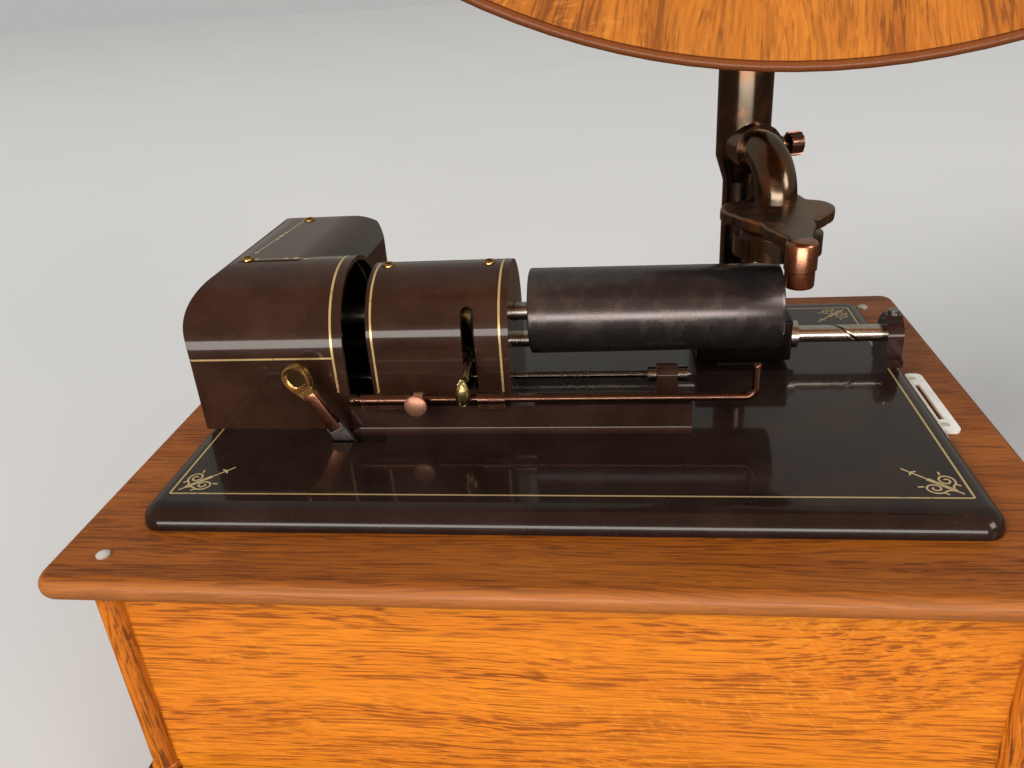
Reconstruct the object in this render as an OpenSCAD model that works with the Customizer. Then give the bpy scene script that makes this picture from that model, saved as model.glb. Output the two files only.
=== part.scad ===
// Cylinder phonograph with a sliding mandrel, a fixed reproducer and a self-supporting oak horn.
// Millimetres, +Z up, +Y away from the listener, origin on the floor under the middle of the case.

/* [Case] */
// Width of the case across its corner columns
case_w = 431; // [426:1:436]
// Depth of the case across its corner columns
case_d = 307; // [302:1:316]
// Height of the case from the floor to the top of the oak board
case_h = 195; // [185:1:230]
// Height of the base moulding
base_h = 54; // [44:1:58]
// How far the base moulding stands out past the columns
base_out = 14; // [8:1:20]
// Thickness of the bottom board
board_t = 10; // [6:1:14]
// Radius of a corner column
column_r = 7; // [6.5:0.5:8]
// Height of the ring at a column's foot
ring_h = 7; // [5:0.5:10]
// How far the ring stands out past the column
ring_out = 1.2; // [0.8:0.1:1.6]
// Thickness of the side panels
panel_t = 12; // [8:1:14]
// How far the panels lie back from the column faces
panel_set = 5; // [3:0.5:7]
// Thickness of the oak top board
top_t = 13; // [12:0.5:16]
// How far the top board overhangs the columns
top_over = 14.5; // [13:0.5:18]
// Plan radius of the top board's corners
top_corner_r = 10; // [9:0.5:16]

/* [Bedplate] */
// Width of the bedplate
bed_w = 394.5; // [393:0.5:397]
// Depth of the bedplate
bed_d = 259; // [256:1:264]
// Thickness of the bedplate
bed_t = 11; // [11:0.5:14]
// Radius of the rounded upper edge
bed_edge_r = 10; // [6:0.5:10.5]
// Plan radius of the bedplate's corners
bed_corner_r = 11; // [11:0.5:16]
// Width of oak under the bedplate's rim
bed_lap = 15; // [10:1:18]

/* [Lid fittings] */
// Radius of a lid pin's head
pin_r = 3.25; // [2.5:0.25:4.5]
// Distance of the lid pins from the middle, sideways
pin_x = 203.5; // [202:0.5:207]
// Distance of the front pins before the middle
pin_front = 148.5; // [142:0.5:152]
// Distance of the rear pins behind the middle
pin_back = 140.5; // [136:0.5:150]
// Length of the strike plate
strike_l = 69; // [60:1:80]
// Width of the strike plate
strike_w = 10; // [9:0.5:12]
// Thickness of the strike plate
strike_t = 1.5; // [1:0.1:2]
// Middle of the strike plate, fore and aft
strike_y = -4; // [-20:1:20]
// Length of the slot in the strike plate
strike_slot_l = 43; // [36:1:46]
// Width of the slot in the strike plate
strike_slot_w = 3; // [2:0.25:3.5]

/* [Covers] */
// Wall of both covers
cover_wall = 2.5; // [2:0.25:3]
// Left wall of the motor cover, from the bedplate's left edge
motor_cover_in = 0.25; // [0:0.25:2]
// Length of the motor cover along the machine
motor_cover_l = 87; // [86.5:0.5:88]
// Radius of the motor cover's front drum
drum_r = 41.5; // [40.5:0.25:41.5]
// Radius of the motor cover's rounded upper left edge
cover_edge_r = 24; // [16:0.5:26]
// Plan radius of the motor cover's front left corner
cover_corner_r = 3.5; // [3.25:0.25:6]
// Width of the motor cover's rear hump
hump_w = 79; // [74:1:82]
// Height of the rear hump above the bedplate
hump_h = 83.5; // [83.5:0.5:90]
// Back wall of the rear hump, behind the middle
hump_back = 104; // [98:1:112]
// Radius of the hump's rounded right and rear edges
hump_r = 26; // [16:1:32]
// Gap between the two covers
cover_gap = 11; // [9:0.5:12]
// Length of the feed cover
feed_cover_l = 75.5; // [75:0.5:77]
// Radius of the feed cover's arch
feed_cover_r = 34; // [33.5:0.25:36]
// Height of the arch's centre above the bedplate
feed_cover_h = 44.5; // [43:0.5:47]
// Thickness of the feed cover's front flange
flange_t = 3; // [2:0.5:4]
// Depth of the feed cover's front flange
flange_d = 7; // [5:0.5:9]
// Width of the lever slot
slot_w = 7; // [6:0.25:9]
// Top of the lever slot above the bedplate
slot_top = 64; // [60:0.5:65]
// Radius of an oil cap
oil_cap_r = 3; // [2:0.25:4]
// Height of an oil cap
oil_cap_h = 2.6; // [1.5:0.1:4]

/* [Mandrel] */
// Mandrel axis, behind the middle
mandrel_y = -7.5; // [-8.5:0.25:-6.5]
// Height of the mandrel axis above the bedplate
mandrel_h = 50; // [49:0.25:52]
// Diameter of the mandrel's left end
mandrel_d_left = 46.6; // [44:0.2:48]
// Diameter of the mandrel's right end
mandrel_d_right = 45; // [43:0.2:47]
// Length of the mandrel
mandrel_l = 137; // [120:1:142]
// Gap between the feed cover and the mandrel
mandrel_gap = 6.5; // [5:0.5:8]
// Wall of the mandrel
mandrel_wall = 2.5; // [2:0.25:4]
// Radius of the spindle
spindle_r = 5; // [4:0.25:6]
// Width of the spindle's keyway
key_w = 2; // [1.5:0.1:2.5]
// Depth of the spindle's keyway
key_d = 1.2; // [0.8:0.1:1.5]
// Travel of the mandrel to the right
travel = 100; // [80:1:100]

/* [Feed] */
// Radius of the feed screw
screw_r = 2; // [1.5:0.1:2.5]
// Feed screw axis, before the mandrel axis
screw_front = 17; // [16:0.25:18]
// Teeth of the drive gear on the pulley
drive_teeth = 46; // [44:1:46]
// Teeth of the gear on the feed screw
screw_teeth = 25; // [23:1:25]
// Radius of the guide rod
rod_r = 5; // [4:0.25:5.5]
// Guide rod axis, behind the middle
rod_y = 33.2; // [32.5:0.1:35]
// Height of the guide rod above the bedplate
rod_h = 15.85; // [14:0.25:17]
// Wall of the carriage sleeve
sleeve_wall = 3; // [2:0.25:3.5]
// Length of the carriage sleeve
sleeve_l = 22; // [14:1:24]
// Thickness of the carriage plate
carriage_t = 6.5; // [5:0.5:7]
// Thickness of a spindle bearing
bearing_t = 8; // [6:0.5:8]
// Radius of the pulleys under the belt
pulley_r = 11; // [9:0.25:11]
// Width of the belt
belt_w = 6; // [4:0.5:6]
// Thickness of the belt
belt_t = 1.7; // [1.2:0.1:1.8]

/* [Rail and levers] */
// Depth of the front rail at its top
rail_d = 14.5; // [13:0.5:16]
// Height of the front rail
rail_h = 15; // [13:0.5:16]
// Right end of the front rail
rail_end = 70; // [69:0.5:76]
// Radius of the stop rod
stop_r = 2.1; // [1.5:0.1:2.4]
// Right end of the stop rod
stop_end = 100.5; // [90:0.5:108]
// Height of the stop rod's finger above its axis
stop_finger = 16.5; // [14:0.5:24]
// Lean of the start lever at rest, in degrees
start_lean = 29; // [22:1:32]
// Depth of the start lever's pivot under the bedplate's top
start_pivot_d = 15; // [13:0.5:18]
// Length of the start lever's steel blade
start_blade_l = 27; // [24:1:30]
// Length of the start lever's shank
start_shank_l = 20; // [16:1:22]
// Length of the start lever's finger piece
start_finger_l = 19; // [16:1:24]
// Radius of the feed lever's knob
feed_knob_r = 4.6; // [3.5:0.1:5]

/* [Sound] */
// Horn column axis, to the right of the middle
column_x = 102.5; // [99:0.5:106]
// Horn column axis, behind the middle
column_y = 50.5; // [49:0.5:54]
// Radius of the column's lower part
column_low_r = 10; // [8:0.25:12]
// Radius of the column's upper part
column_up_r = 14.5; // [13.5:0.25:16]
// Height of the column's top above the bedplate
column_h = 170; // [160:1:180]
// Height of the branch above the bedplate
branch_h = 124; // [120:1:130]
// Turn of the branch away from straight ahead, in degrees
branch_yaw = 17; // [10:1:22]
// Reach of the branch from the column's axis
branch_l = 21; // [19:0.5:24]
// Radius of the tone elbow
elbow_r = 10.5; // [9:0.25:11]
// Wall of the tone elbow
elbow_wall = 1.5; // [1:0.25:2]
// Bend radius of the tone elbow
elbow_bend = 22; // [18:0.5:24]
// Thickness of the reproducer plate
plate_t = 7; // [5:0.5:8]
// Radius of the reproducer drum
sound_drum_r = 22; // [18:0.5:22]
// Height of the reproducer drum
sound_drum_h = 10; // [8:0.5:11]
// Radius of the hanging weight
weight_r = 7.6; // [6:0.2:8]
// Length of the hanging weight
weight_l = 16; // [12:0.5:18]
// Radius of the thumbscrew's head
thumb_r = 6.5; // [5:0.25:7]

/* [Horn] */
// Radius of the horn's mouth
bell_r = 258; // [220:1:270]
// Length of the bell along its axis
bell_l = 330; // [280:1:380]
// Radius of the bell's throat
throat_r = 34; // [28:0.5:40]
// Wall of the bell
bell_wall = 6; // [4:0.5:8]
// How sharply the bell flares
bell_flare = 2.2; // [1.8:0.05:2.8]
// Height of the bell's axis above the bedplate
bell_h = 447; // [440:1:470]
// Wall of the neck
neck_wall = 1.5; // [1.2:0.1:2]
// Bend radius of the neck's lower bend
neck_bend = 70; // [60:1:80]

/* [Motor] */
// Drop of the output pulley below the mandrel axis
motor_drop = 120; // [114:1:124]
// Thickness of the motor plates
motor_plate_t = 5; // [4:0.5:6]
// Depth of the motor plates below the bedplate
motor_plate_h = 140; // [134:1:146]
// Radius of the spring barrel
barrel_r = 40; // [34:0.5:41]
// Length of the spring barrel
barrel_l = 55; // [44:1:56]
// Teeth of the great wheel
great_teeth = 90; // [86:1:90]
// Teeth of the crank pinion
crank_teeth = 20; // [18:1:22]
// Teeth of the winding wheel
winding_teeth = 60; // [56:1:62]
// Radius of the governor disc
governor_r = 15; // [12:0.5:17]
// Throw of the crank
crank_throw = 85; // [70:1:88]
// Radius of the crank's shaft
crank_r = 5; // [4:0.25:6]
// Length of the crank's wooden handle
handle_l = 53; // [44:1:64]
// Radius of the crank's wooden handle
handle_r = 12; // [10:0.5:14]

/* [Fits] */
// Radial clearance of a running fit
run_fit = 0.05; // [0.02:0.01:0.08]
// Clearance where a piece is let into another
seat_fit = 0.1; // [0.05:0.05:0.2]
// Clearance beside a moving piece
side_fit = 0.3; // [0.2:0.1:0.5]

/* [Hidden] */
$fn = 64;
eps = 1;

// Levels
bed_z = case_h + bed_t;
board_under = case_h - top_t;

// Columns and panels
col_x = case_w / 2 - column_r;
col_y = case_d / 2 - column_r;
panel_x = case_w / 2 - panel_set - panel_t;
panel_y = case_d / 2 - panel_set - panel_t;
opening_w = bed_w - 2 * bed_lap;
opening_d = bed_d - 2 * bed_lap;
base_in_w = 2 * panel_x;
base_in_d = 2 * panel_y;

// Places along the machine, from left to right
motor_cover_x = -bed_w / 2 + motor_cover_in;
motor_cover_end = motor_cover_x + motor_cover_l;
feed_cover_x = motor_cover_end + cover_gap;
feed_cover_end = feed_cover_x + feed_cover_l;
mandrel_x = feed_cover_end + mandrel_gap;
right_bearing_x = feed_cover_end - cover_wall - 1.5 - bearing_t;
left_bearing_x = right_bearing_x - 30;
gear_x = left_bearing_x + bearing_t + 1.5;
gear_w = 6;
pulley_x = gear_x + gear_w + 2;
pulley_w = 9.5;
carriage_x = left_bearing_x - 5.5 - carriage_t - travel;
left_post_x = carriage_x - 14;
left_post_t = 9;
slot_x = pulley_x + 3.2;

// Axes seen along X, as [y, z]
mandrel_p = [mandrel_y, bed_z + mandrel_h];
screw_drop = sqrt(pow((drive_teeth + screw_teeth) / 2, 2) - screw_front * screw_front);
screw_p = [mandrel_y - screw_front, bed_z + mandrel_h - screw_drop];
rod_p = [rod_y, bed_z + rod_h];
drum_p = [mandrel_y - 0.5, bed_z + drum_r];
feed_cover_p = [mandrel_y, bed_z + feed_cover_h];
feed_pivot_p = [screw_p[0] - 0.5, screw_p[1] + 17];
rail_back = mandrel_y - feed_cover_r + cover_wall + 0.5;
rail_front = rail_back - rail_d;
stop_p = [rail_front - 1, bed_z + rail_h + 5];
output_p = [mandrel_y, mandrel_p[1] - motor_drop];

// Gear train of the motor, module 1
mid_pinion_teeth = 18;
mid_wheel_teeth = 64;
out_pinion_teeth = 16;
out_wheel_teeth = 50;
gov_teeth = 14;
mid_p = polar(output_p, (mid_wheel_teeth + out_pinion_teeth) / 2, -84.5);
barrel_p = polar(mid_p, (great_teeth + mid_pinion_teeth) / 2, 32.2);
governor_p = polar(output_p, (out_wheel_teeth + gov_teeth) / 2, 170);
crank_p = polar(barrel_p, (winding_teeth + crank_teeth) / 2, -20);

// Motor places along X
plate_right_x = pulley_x - 2.5 - motor_plate_t;
plate_left_x = plate_right_x - 88;
great_x = plate_right_x - 22;
mid_x = great_x + 8;
out_wheel_x = mid_x + 7;
arbor_r = 4;
winding_r = 5;
motor_front = governor_p[0] - 13;
motor_back = crank_p[0] + 16;
pillar_r = 4;

// Start lever
start_x = motor_cover_end + 6;
start_y = rail_front - 8;
start_pivot_z = bed_z - start_pivot_d;
start_t = 2.5;
start_w = 9;
start_pin_r = 2;
start_slot = start_pivot_d * tan(start_lean) + start_w / 2 / cos(start_lean) + 0.8;

// Reproducer
branch_a = branch_yaw - 90;
elbow_end = branch_l + elbow_bend;
tube_x = column_x + elbow_end * cos(branch_a);
tube_y = column_y + elbow_end * sin(branch_a);
plate_top = bed_z + branch_h - elbow_bend - 5;
plate_z = plate_top - plate_t;
stylus_x = tube_x - 1;
stylus_y = mandrel_y;
weight_x = stylus_x + 4.3;
weight_y = mandrel_y - 38;

// Horn
neck_r = column_up_r;
neck_z = bed_z + column_h + side_fit;
neck_flange = 3;
neck_rise = 24;
bell_z = bed_z + bell_h;
neck_top_bend = (bell_z - neck_z - neck_flange - neck_bend - neck_rise) / 2;
neck_run = 66;
throat_y = column_y + neck_bend + neck_run;
neck_steps = 6;
neck_turns = 18;
neck_sides = 28;

// Small fixed sizes and places
bush_r = crank_r + 3;
strike_screw_r = 2.2;
strike_screw_y = strike_slot_l / 2 + 6;
strike_side = 1.2;
strike_x = bed_w / 2 + 1 + strike_w / 2 - strike_side;
strike_deep = 9;
nose_r = top_t / 2 + 0.3;
rail_fillet = 3;
post_t = 8.8;
right_post_x = bed_w / 2 - 12.4;
post_top = rod_p[1] + rod_r + 6.6;
screw_post_t = 11;
screw_post_x = rail_end - 17;
foot_h = 28;
foot_x = column_x + 3;
foot_w = 54;
feed_pivot_r = 2.2;
ring_r = elbow_r + 2.5;
thumb_s = branch_l - 6;
thumb_shank_r = 2.5;
neck_spigot_r = 11;
neck_spigot_l = 20;
half_nut_l = 3.2;
sleeve_room = rod_r + sleeve_wall + 3;
start_shank_w = 6;
stop_bearings = [[feed_cover_x - 3, feed_cover_x + 24], [feed_cover_end - 16, feed_cover_end - 2]];
stop_knob_x = feed_cover_x + 27.8;
stop_bend = 5;
governor_arbor_r = 2.5;
governor_x = plate_left_x + 42;
collar_r = 6;
winding_x = plate_right_x + motor_plate_t + 3;
crank_arm_x = case_w / 2 + top_over + 4;
crank_arm_t = 8;
handle_pin_r = 4;

// A point at a distance and an angle from another
function polar(p, d, a) = [p[0] + d * cos(a), p[1] + d * sin(a)];

// Direction from one point to another
function heading(a, b) = atan2(b[1] - a[1], b[0] - a[0]);

// Outline of a gear of module 1 with straight-sided teeth
function gear_outline(n, phase) = [
    for (i = [0:n - 1])
        for (k = [0:3])
            let (a = phase + (i + [-0.3, -0.1, 0.1, 0.3][k]) * 360 / n)
            let (r = n / 2 + [-1.2, 0.9, 0.9, -1.2][k])
            [r * cos(a), r * sin(a)]
];

// Phase that puts a gap of the second gear on a tooth of the first
function mesh_phase(a, b, n) = heading(a, b) + 180 + 180 / n;

// Radius of the bell's inside at a distance from its throat
function bell_at(a) = throat_r + (bell_r - throat_r) * pow(a / bell_l, bell_flare);

// Lays a shape drawn in the plane of Y and Z along +X from x
module on_x(x, p = [0, 0]) translate([x, p[0], p[1]]) rotate([90, 0, 90]) children();

// Lays a shape drawn upright along +Y from y
module on_y(x, y, z) translate([x, y, z]) rotate([-90, 0, 0]) children();

// Rectangle with round corners
module round_rect(w, d, r) {
    square([w - 2 * r, d], center = true);
    square([w, d - 2 * r], center = true);
    for (x = [-1, 1], y = [-1, 1]) translate([x * (w / 2 - r), y * (d / 2 - r)]) circle(r);
}

// Rectangle from one corner to the other
module corner_rect(a, b) translate(a) square([b[0] - a[0], b[1] - a[1]]);

// Section of a rounded edge, out from the middle of a corner
module edge_round(corner, t, r) {
    intersection() {
        translate([corner - r, t - r]) circle(r);
        square([corner, t]);
    }
}

// Slab with rounded edges and corners, square below the height low
module rounded_slab(w, d, t, r, corner, low) {
    x = w / 2 - corner;
    y = d / 2 - corner;
    translate([-x, r - d / 2, 0]) cube([2 * x, d - 2 * r, t]);
    translate([r - w / 2, -y, 0]) cube([w - 2 * r, 2 * y, t]);
    for (s = [0, 1]) mirror([0, s, 0]) translate([-x, y, 0]) on_x(0) linear_extrude(2 * x)
        edge_round(corner, t, r);
    for (s = [0, 1]) mirror([s, 0, 0]) translate([x, y, 0]) rotate([90, 0, 0]) linear_extrude(2 * y)
        edge_round(corner, t, r);
    for (a = [-1, 1], b = [-1, 1]) translate([a * x, b * y, 0]) {
        rotate_extrude() edge_round(corner, t, r);
        if (corner > r) cylinder(r = corner - r, h = t);
    }
    if (low > 0) linear_extrude(low) round_rect(w, d, corner);
}

// Section of a board's round nose, from the centre of its corner outwards
module nose(t, r, corner) {
    intersection() {
        union() {
            translate([corner - r, t / 2]) circle(r);
            square([corner - r, t]);
        }
        square([corner, t]);
    }
}

// Board with a round nose along its four sides and round its corners
module nosed_board(w, d, t, r, corner) {
    x = w / 2 - corner;
    y = d / 2 - corner;
    linear_extrude(t) square([2 * x, 2 * y], center = true);
    for (s = [0, 1]) mirror([0, s, 0]) translate([-x, y, 0]) on_x(0) linear_extrude(2 * x)
        nose(t, r, corner);
    for (s = [0, 1]) mirror([s, 0, 0]) translate([x, y, 0]) rotate([90, 0, 0]) linear_extrude(2 * y)
        nose(t, r, corner);
    for (a = [-1, 1], b = [-1, 1]) translate([a * x, b * y, 0]) rotate_extrude() nose(t, r, corner);
}

// Block whose four sides follow a section, mitred at the corners
module crossed(w, d) {
    intersection() {
        rotate([90, 0, 0]) linear_extrude(2 * d, center = true) children(0);
        rotate([90, 0, 90]) linear_extrude(2 * w, center = true) children(1);
    }
}

// Section of the base moulding: a plinth, a round hollow and a fillet strip on top
module base_section(w) {
    strip_h = 6;
    strip_out = 4;
    hollow_r = base_out - strip_out;
    difference() {
        translate([-w / 2 - base_out, 0]) square([w + 2 * base_out, base_h - strip_h]);
        for (x = [-1, 1]) translate([x * (w / 2 + base_out), base_h - strip_h]) circle(hollow_r);
    }
    translate([-w / 2 - strip_out, 0]) square([w + 2 * strip_out, base_h]);
}

// Eye, web and foot of a bearing that stands on the bedplate, in the plane of Y and Z
module pedestal(p, r, foot_w, foot_h = 5) {
    translate(p) circle(r);
    corner_rect([p[0] - r, bed_z], [p[0] + r, p[1]]);
    corner_rect([p[0] - foot_w / 2, bed_z], [p[0] + foot_w / 2, bed_z + foot_h]);
}

// Round bar along X
module bar_x(x0, x1, p, r) on_x(x0, p) cylinder(r = r, h = x1 - x0);

// Spur gear on an axis along X
module gear_x_axis(x, p, n, width, phase) on_x(x, p) linear_extrude(width) polygon(gear_outline(n, phase));

// Round bar between two points in a plane of Y and Z
module strut(x, a, b, r) {
    reach = norm([b[0] - a[0], b[1] - a[1]]);
    translate([x, a[0], a[1]]) rotate([heading(a, b) - 90, 0, 0]) cylinder(r = r, h = reach);
}

// Places things in the frame of the branch: x along the branch, y to its right, z up
module at_branch() translate([column_x, column_y, bed_z + branch_h]) rotate([0, 0, branch_a]) children();

// Places things in the frame of the leaning start lever, from its pivot
module at_start() translate([start_x, start_y, start_pivot_z]) rotate([0, -start_lean, 0]) children();

// Grooves that let the panels round the columns and their foot rings
module column_cuts() {
    for (x = [-1, 1], y = [-1, 1]) translate([x * col_x, y * col_y, base_h - eps]) {
        cylinder(r = column_r + seat_fit, h = board_under - base_h + 2 * eps);
        cylinder(r = column_r + ring_out + seat_fit, h = eps + ring_h + seat_fit);
    }
}

// Panel across the case, on the side given by s
module long_panel(s) {
    difference() {
        translate([-col_x, s > 0 ? panel_y : -panel_y - panel_t, base_h])
            cube([2 * col_x, panel_t, board_under - base_h]);
        column_cuts();
    }
}

// Panel along the case between the long panels, on the side given by s
module side_panel(s) {
    difference() {
        translate([s > 0 ? panel_x : -panel_x - panel_t, -panel_y, base_h])
            cube([panel_t, 2 * panel_y, board_under - base_h]);
        column_cuts();
    }
}

module oak_top() {
    color("saddlebrown") difference() {
        translate([0, 0, board_under])
            nosed_board(case_w + 2 * top_over, case_d + 2 * top_over, top_t, nose_r, top_corner_r);
        translate([0, 0, board_under - eps]) linear_extrude(top_t + 2 * eps)
            square([opening_w, opening_d], center = true);
        translate([strike_x, strike_y, case_h - strike_deep]) linear_extrude(strike_deep + eps)
            square([strike_slot_w, strike_slot_l], center = true);
    }
}

module front_panel() color("peru") long_panel(-1);

module back_panel() color("peru") long_panel(1);

module left_panel() color("peru") side_panel(-1);

module right_panel() {
    color("peru") difference() {
        side_panel(1);
        bar_x(panel_x - eps, panel_x + panel_t + eps, crank_p, bush_r + seat_fit);
    }
}

module corner_columns() {
    color("sienna") for (x = [-1, 1], y = [-1, 1]) translate([x * col_x, y * col_y, base_h]) {
        cylinder(r = column_r, h = board_under - base_h);
        translate([0, 0, ring_h / 2]) rotate_extrude()
            translate([column_r + ring_out - ring_h / 2, 0]) circle(ring_h / 2);
    }
}

module base_moulding() {
    color("#3a2414") difference() {
        crossed(case_w + 2 * base_out, case_d + 2 * base_out) {
            base_section(case_w);
            base_section(case_d);
        }
        translate([0, 0, -eps]) linear_extrude(base_h + 2 * eps)
            square([base_in_w, base_in_d], center = true);
    }
}

module bottom_board() {
    color("burlywood") linear_extrude(board_t)
        square([base_in_w - 2 * seat_fit, base_in_d - 2 * seat_fit], center = true);
}

module lid_pins() {
    color("silver") for (x = [-1, 1], y = [-pin_front, pin_back]) translate([x * pin_x, y, case_h]) {
        cylinder(r = pin_r, h = 1);
        translate([0, 0, 1]) intersection() {
            translate([0, 0, -pin_r * 1.2]) sphere(pin_r * sqrt(2.44));
            cylinder(r = pin_r, h = pin_r);
        }
    }
}

module strike_plate() {
    color("silver") translate([strike_x, strike_y, case_h]) linear_extrude(strike_t)
        difference() {
            translate([strike_side, 0]) round_rect(strike_w, strike_l, 4);
            square([strike_slot_w, strike_slot_l], center = true);
            for (y = [-1, 1]) translate([0, y * strike_screw_y]) circle(strike_screw_r + seat_fit);
        }
}

module strike_screws() {
    color("gainsboro") for (y = [-1, 1])
        translate([strike_x, strike_y + y * strike_screw_y, case_h])
        difference() {
            cylinder(r = strike_screw_r, h = strike_t + 0.3);
            translate([-5, -0.4, strike_t - 0.3]) cube([10, 0.8, 1]);
        }
}

module bedplate() {
    color("#33150f") {
        difference() {
            translate([0, 0, case_h])
                rounded_slab(bed_w, bed_d, bed_t, bed_edge_r, bed_corner_r, bed_t - bed_edge_r);
            translate([start_x - start_slot, start_y - 4, case_h - eps])
                cube([2 * start_slot, 8, bed_t + 2 * eps]);
            for (s = [-1, 1]) translate([pulley_x + 1, mandrel_y + s * (pulley_r + 2) - 3, case_h - eps])
                cube([pulley_w - 2, 6, bed_t + 2 * eps]);
        }
        translate([start_x - 5, start_y + 3.5, start_pivot_z - 5])
            cube([10, 4, case_h - start_pivot_z + 5]);
        on_y(start_x, start_y - 3, start_pivot_z) cylinder(r = start_pin_r, h = 7);
    }
}

module front_rail() {
    color("#33150f") on_x(motor_cover_end + 0.5) linear_extrude(rail_end - motor_cover_end - 0.5) {
        corner_rect([rail_front, bed_z], [rail_back, bed_z + rail_h]);
        difference() {
            corner_rect([rail_front - rail_fillet, bed_z], [rail_front, bed_z + rail_fillet]);
            translate([rail_front - rail_fillet, bed_z + rail_fillet]) circle(rail_fillet - 0.5);
        }
    }
}

// Outer form of the motor cover, drawn in by g on every wall
module motor_cover_form(g) {
    low = g > 0 ? eps : 0;
    intersection() {
        drum_side(g, low);
        drum_front(g, low);
        drum_plan(g, low);
    }
    intersection() {
        hump_plan(g, low);
        hump_front(g, low);
        hump_side(g, low);
    }
}

// Side view of the cover's drum: a round top on upright walls
module drum_side(g, low) {
    r = drum_r - g;
    on_x(motor_cover_x) linear_extrude(motor_cover_l + low) {
        translate(drum_p) circle(r);
        corner_rect([drum_p[0] - r, bed_z - low], [drum_p[0] + r, drum_p[1]]);
    }
}

// Front view of the cover's drum, with its upper left edge rounded
module drum_front(g, low) {
    x0 = motor_cover_x + g;
    x1 = motor_cover_end + low;
    z1 = bed_z + hump_h - g;
    r = cover_edge_r - g;
    translate([0, drum_p[0] + drum_r, 0]) rotate([90, 0, 0]) linear_extrude(2 * drum_r) {
        corner_rect([x0, bed_z - low], [x1, z1 - r]);
        corner_rect([x0 + r, bed_z - low], [x1, z1]);
        translate([x0 + r, z1 - r]) circle(r);
    }
}

// Plan of the cover's drum, with its front left corner rounded
module drum_plan(g, low) {
    x0 = motor_cover_x + g;
    x1 = motor_cover_end + low;
    y0 = drum_p[0] - drum_r + g;
    y1 = drum_p[0] + drum_r - g;
    r = cover_corner_r - g;
    translate([0, 0, bed_z - low]) linear_extrude(hump_h + low) {
        corner_rect([x0 + r, y0], [x1, y1]);
        corner_rect([x0, y0 + r], [x1, y1]);
        translate([x0 + r, y0 + r]) circle(r);
    }
}

// Plan of the rear hump, with its back corners rounded
module hump_plan(g, low) {
    x0 = motor_cover_x + g;
    x1 = motor_cover_x + hump_w - g;
    y1 = hump_back - g;
    r = cover_edge_r - g;
    translate([0, 0, bed_z - low]) linear_extrude(hump_h + low) {
        corner_rect([x0, drum_p[0]], [x1, y1 - r]);
        corner_rect([x0 + r, drum_p[0]], [x1 - r, y1]);
        for (x = [x0 + r, x1 - r]) translate([x, y1 - r]) circle(r);
    }
}

// Front view of the rear hump, with its top corners rounded
module hump_front(g, low) {
    x0 = motor_cover_x + g;
    x1 = motor_cover_x + hump_w - g;
    z1 = bed_z + hump_h - g;
    left = cover_edge_r - g;
    right = hump_r - g;
    translate([0, hump_back, 0]) rotate([90, 0, 0]) linear_extrude(hump_back - drum_p[0]) {
        corner_rect([x0, bed_z - low], [x1, z1 - right]);
        corner_rect([x0 + left, bed_z - low], [x1 - right, z1]);
        corner_rect([x0, bed_z - low], [x1 - right, z1 - left]);
        translate([x0 + left, z1 - left]) circle(left);
        translate([x1 - right, z1 - right]) circle(right);
    }
}

// Side view of the rear hump, with its rear top edge rounded
module hump_side(g, low) {
    y1 = hump_back - g;
    z1 = bed_z + hump_h - g;
    r = hump_r - g;
    on_x(motor_cover_x) linear_extrude(hump_w) {
        corner_rect([drum_p[0], bed_z - low], [y1, z1 - r]);
        corner_rect([drum_p[0], bed_z - low], [y1 - r, z1]);
        translate([y1 - r, z1 - r]) circle(r);
    }
}

module motor_cover() {
    color("#3d1a12") difference() {
        motor_cover_form(0);
        motor_cover_form(cover_wall);
        translate([motor_cover_x + hump_w - 2 * cover_wall, rod_y - sleeve_room, bed_z - eps])
            cube([motor_cover_l, 2 * sleeve_room, rod_h + sleeve_room]);
    }
}

// Arch of the feed cover, drawn in by g
module feed_arch(g) {
    translate(feed_cover_p) circle(feed_cover_r - g);
    corner_rect([feed_cover_p[0] - feed_cover_r + g, bed_z - (g > 0 ? eps : 0)],
        [feed_cover_p[0] + feed_cover_r - g, feed_cover_p[1]]);
}

module feed_cover() {
    front = mandrel_y - feed_cover_r;
    arm_z = bed_z + rod_h;
    arm_room = 2 * (rod_r + sleeve_wall) + 5;
    color("#3d1a12") difference() {
        union() {
            on_x(feed_cover_x) linear_extrude(feed_cover_l) feed_arch(0);
            translate([feed_cover_x, front - flange_d, bed_z + rail_h])
                cube([feed_cover_l, flange_d + 1, flange_t]);
        }
        on_x(feed_cover_x - eps) linear_extrude(feed_cover_l + eps - cover_wall) feed_arch(cover_wall);
        translate([feed_cover_x - eps, front - eps, bed_z - eps])
            cube([feed_cover_l + 2 * eps, rail_back - front + eps + 0.1, rail_h + eps]);
        translate([slot_x - slot_w / 2, front - flange_d - eps, bed_z + rail_h + flange_t])
            cube([slot_w, flange_d + 14, slot_top - rail_h - flange_t - slot_w / 2]);
        on_y(slot_x, front - eps, bed_z + slot_top - slot_w / 2) cylinder(r = slot_w / 2, h = 14);
        bar_x(feed_cover_end - cover_wall - eps, feed_cover_end + eps, mandrel_p, spindle_r + 1);
        bar_x(feed_cover_end - cover_wall - eps, feed_cover_end + eps, screw_p, screw_r + 1.2);
        translate([feed_cover_x - eps, mandrel_y + feed_cover_r - cover_wall - eps, arm_z - arm_room / 2])
            cube([carriage_x + travel + sleeve_l + 3 - feed_cover_x, cover_wall + 2 * eps, arm_room]);
    }
}

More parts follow.
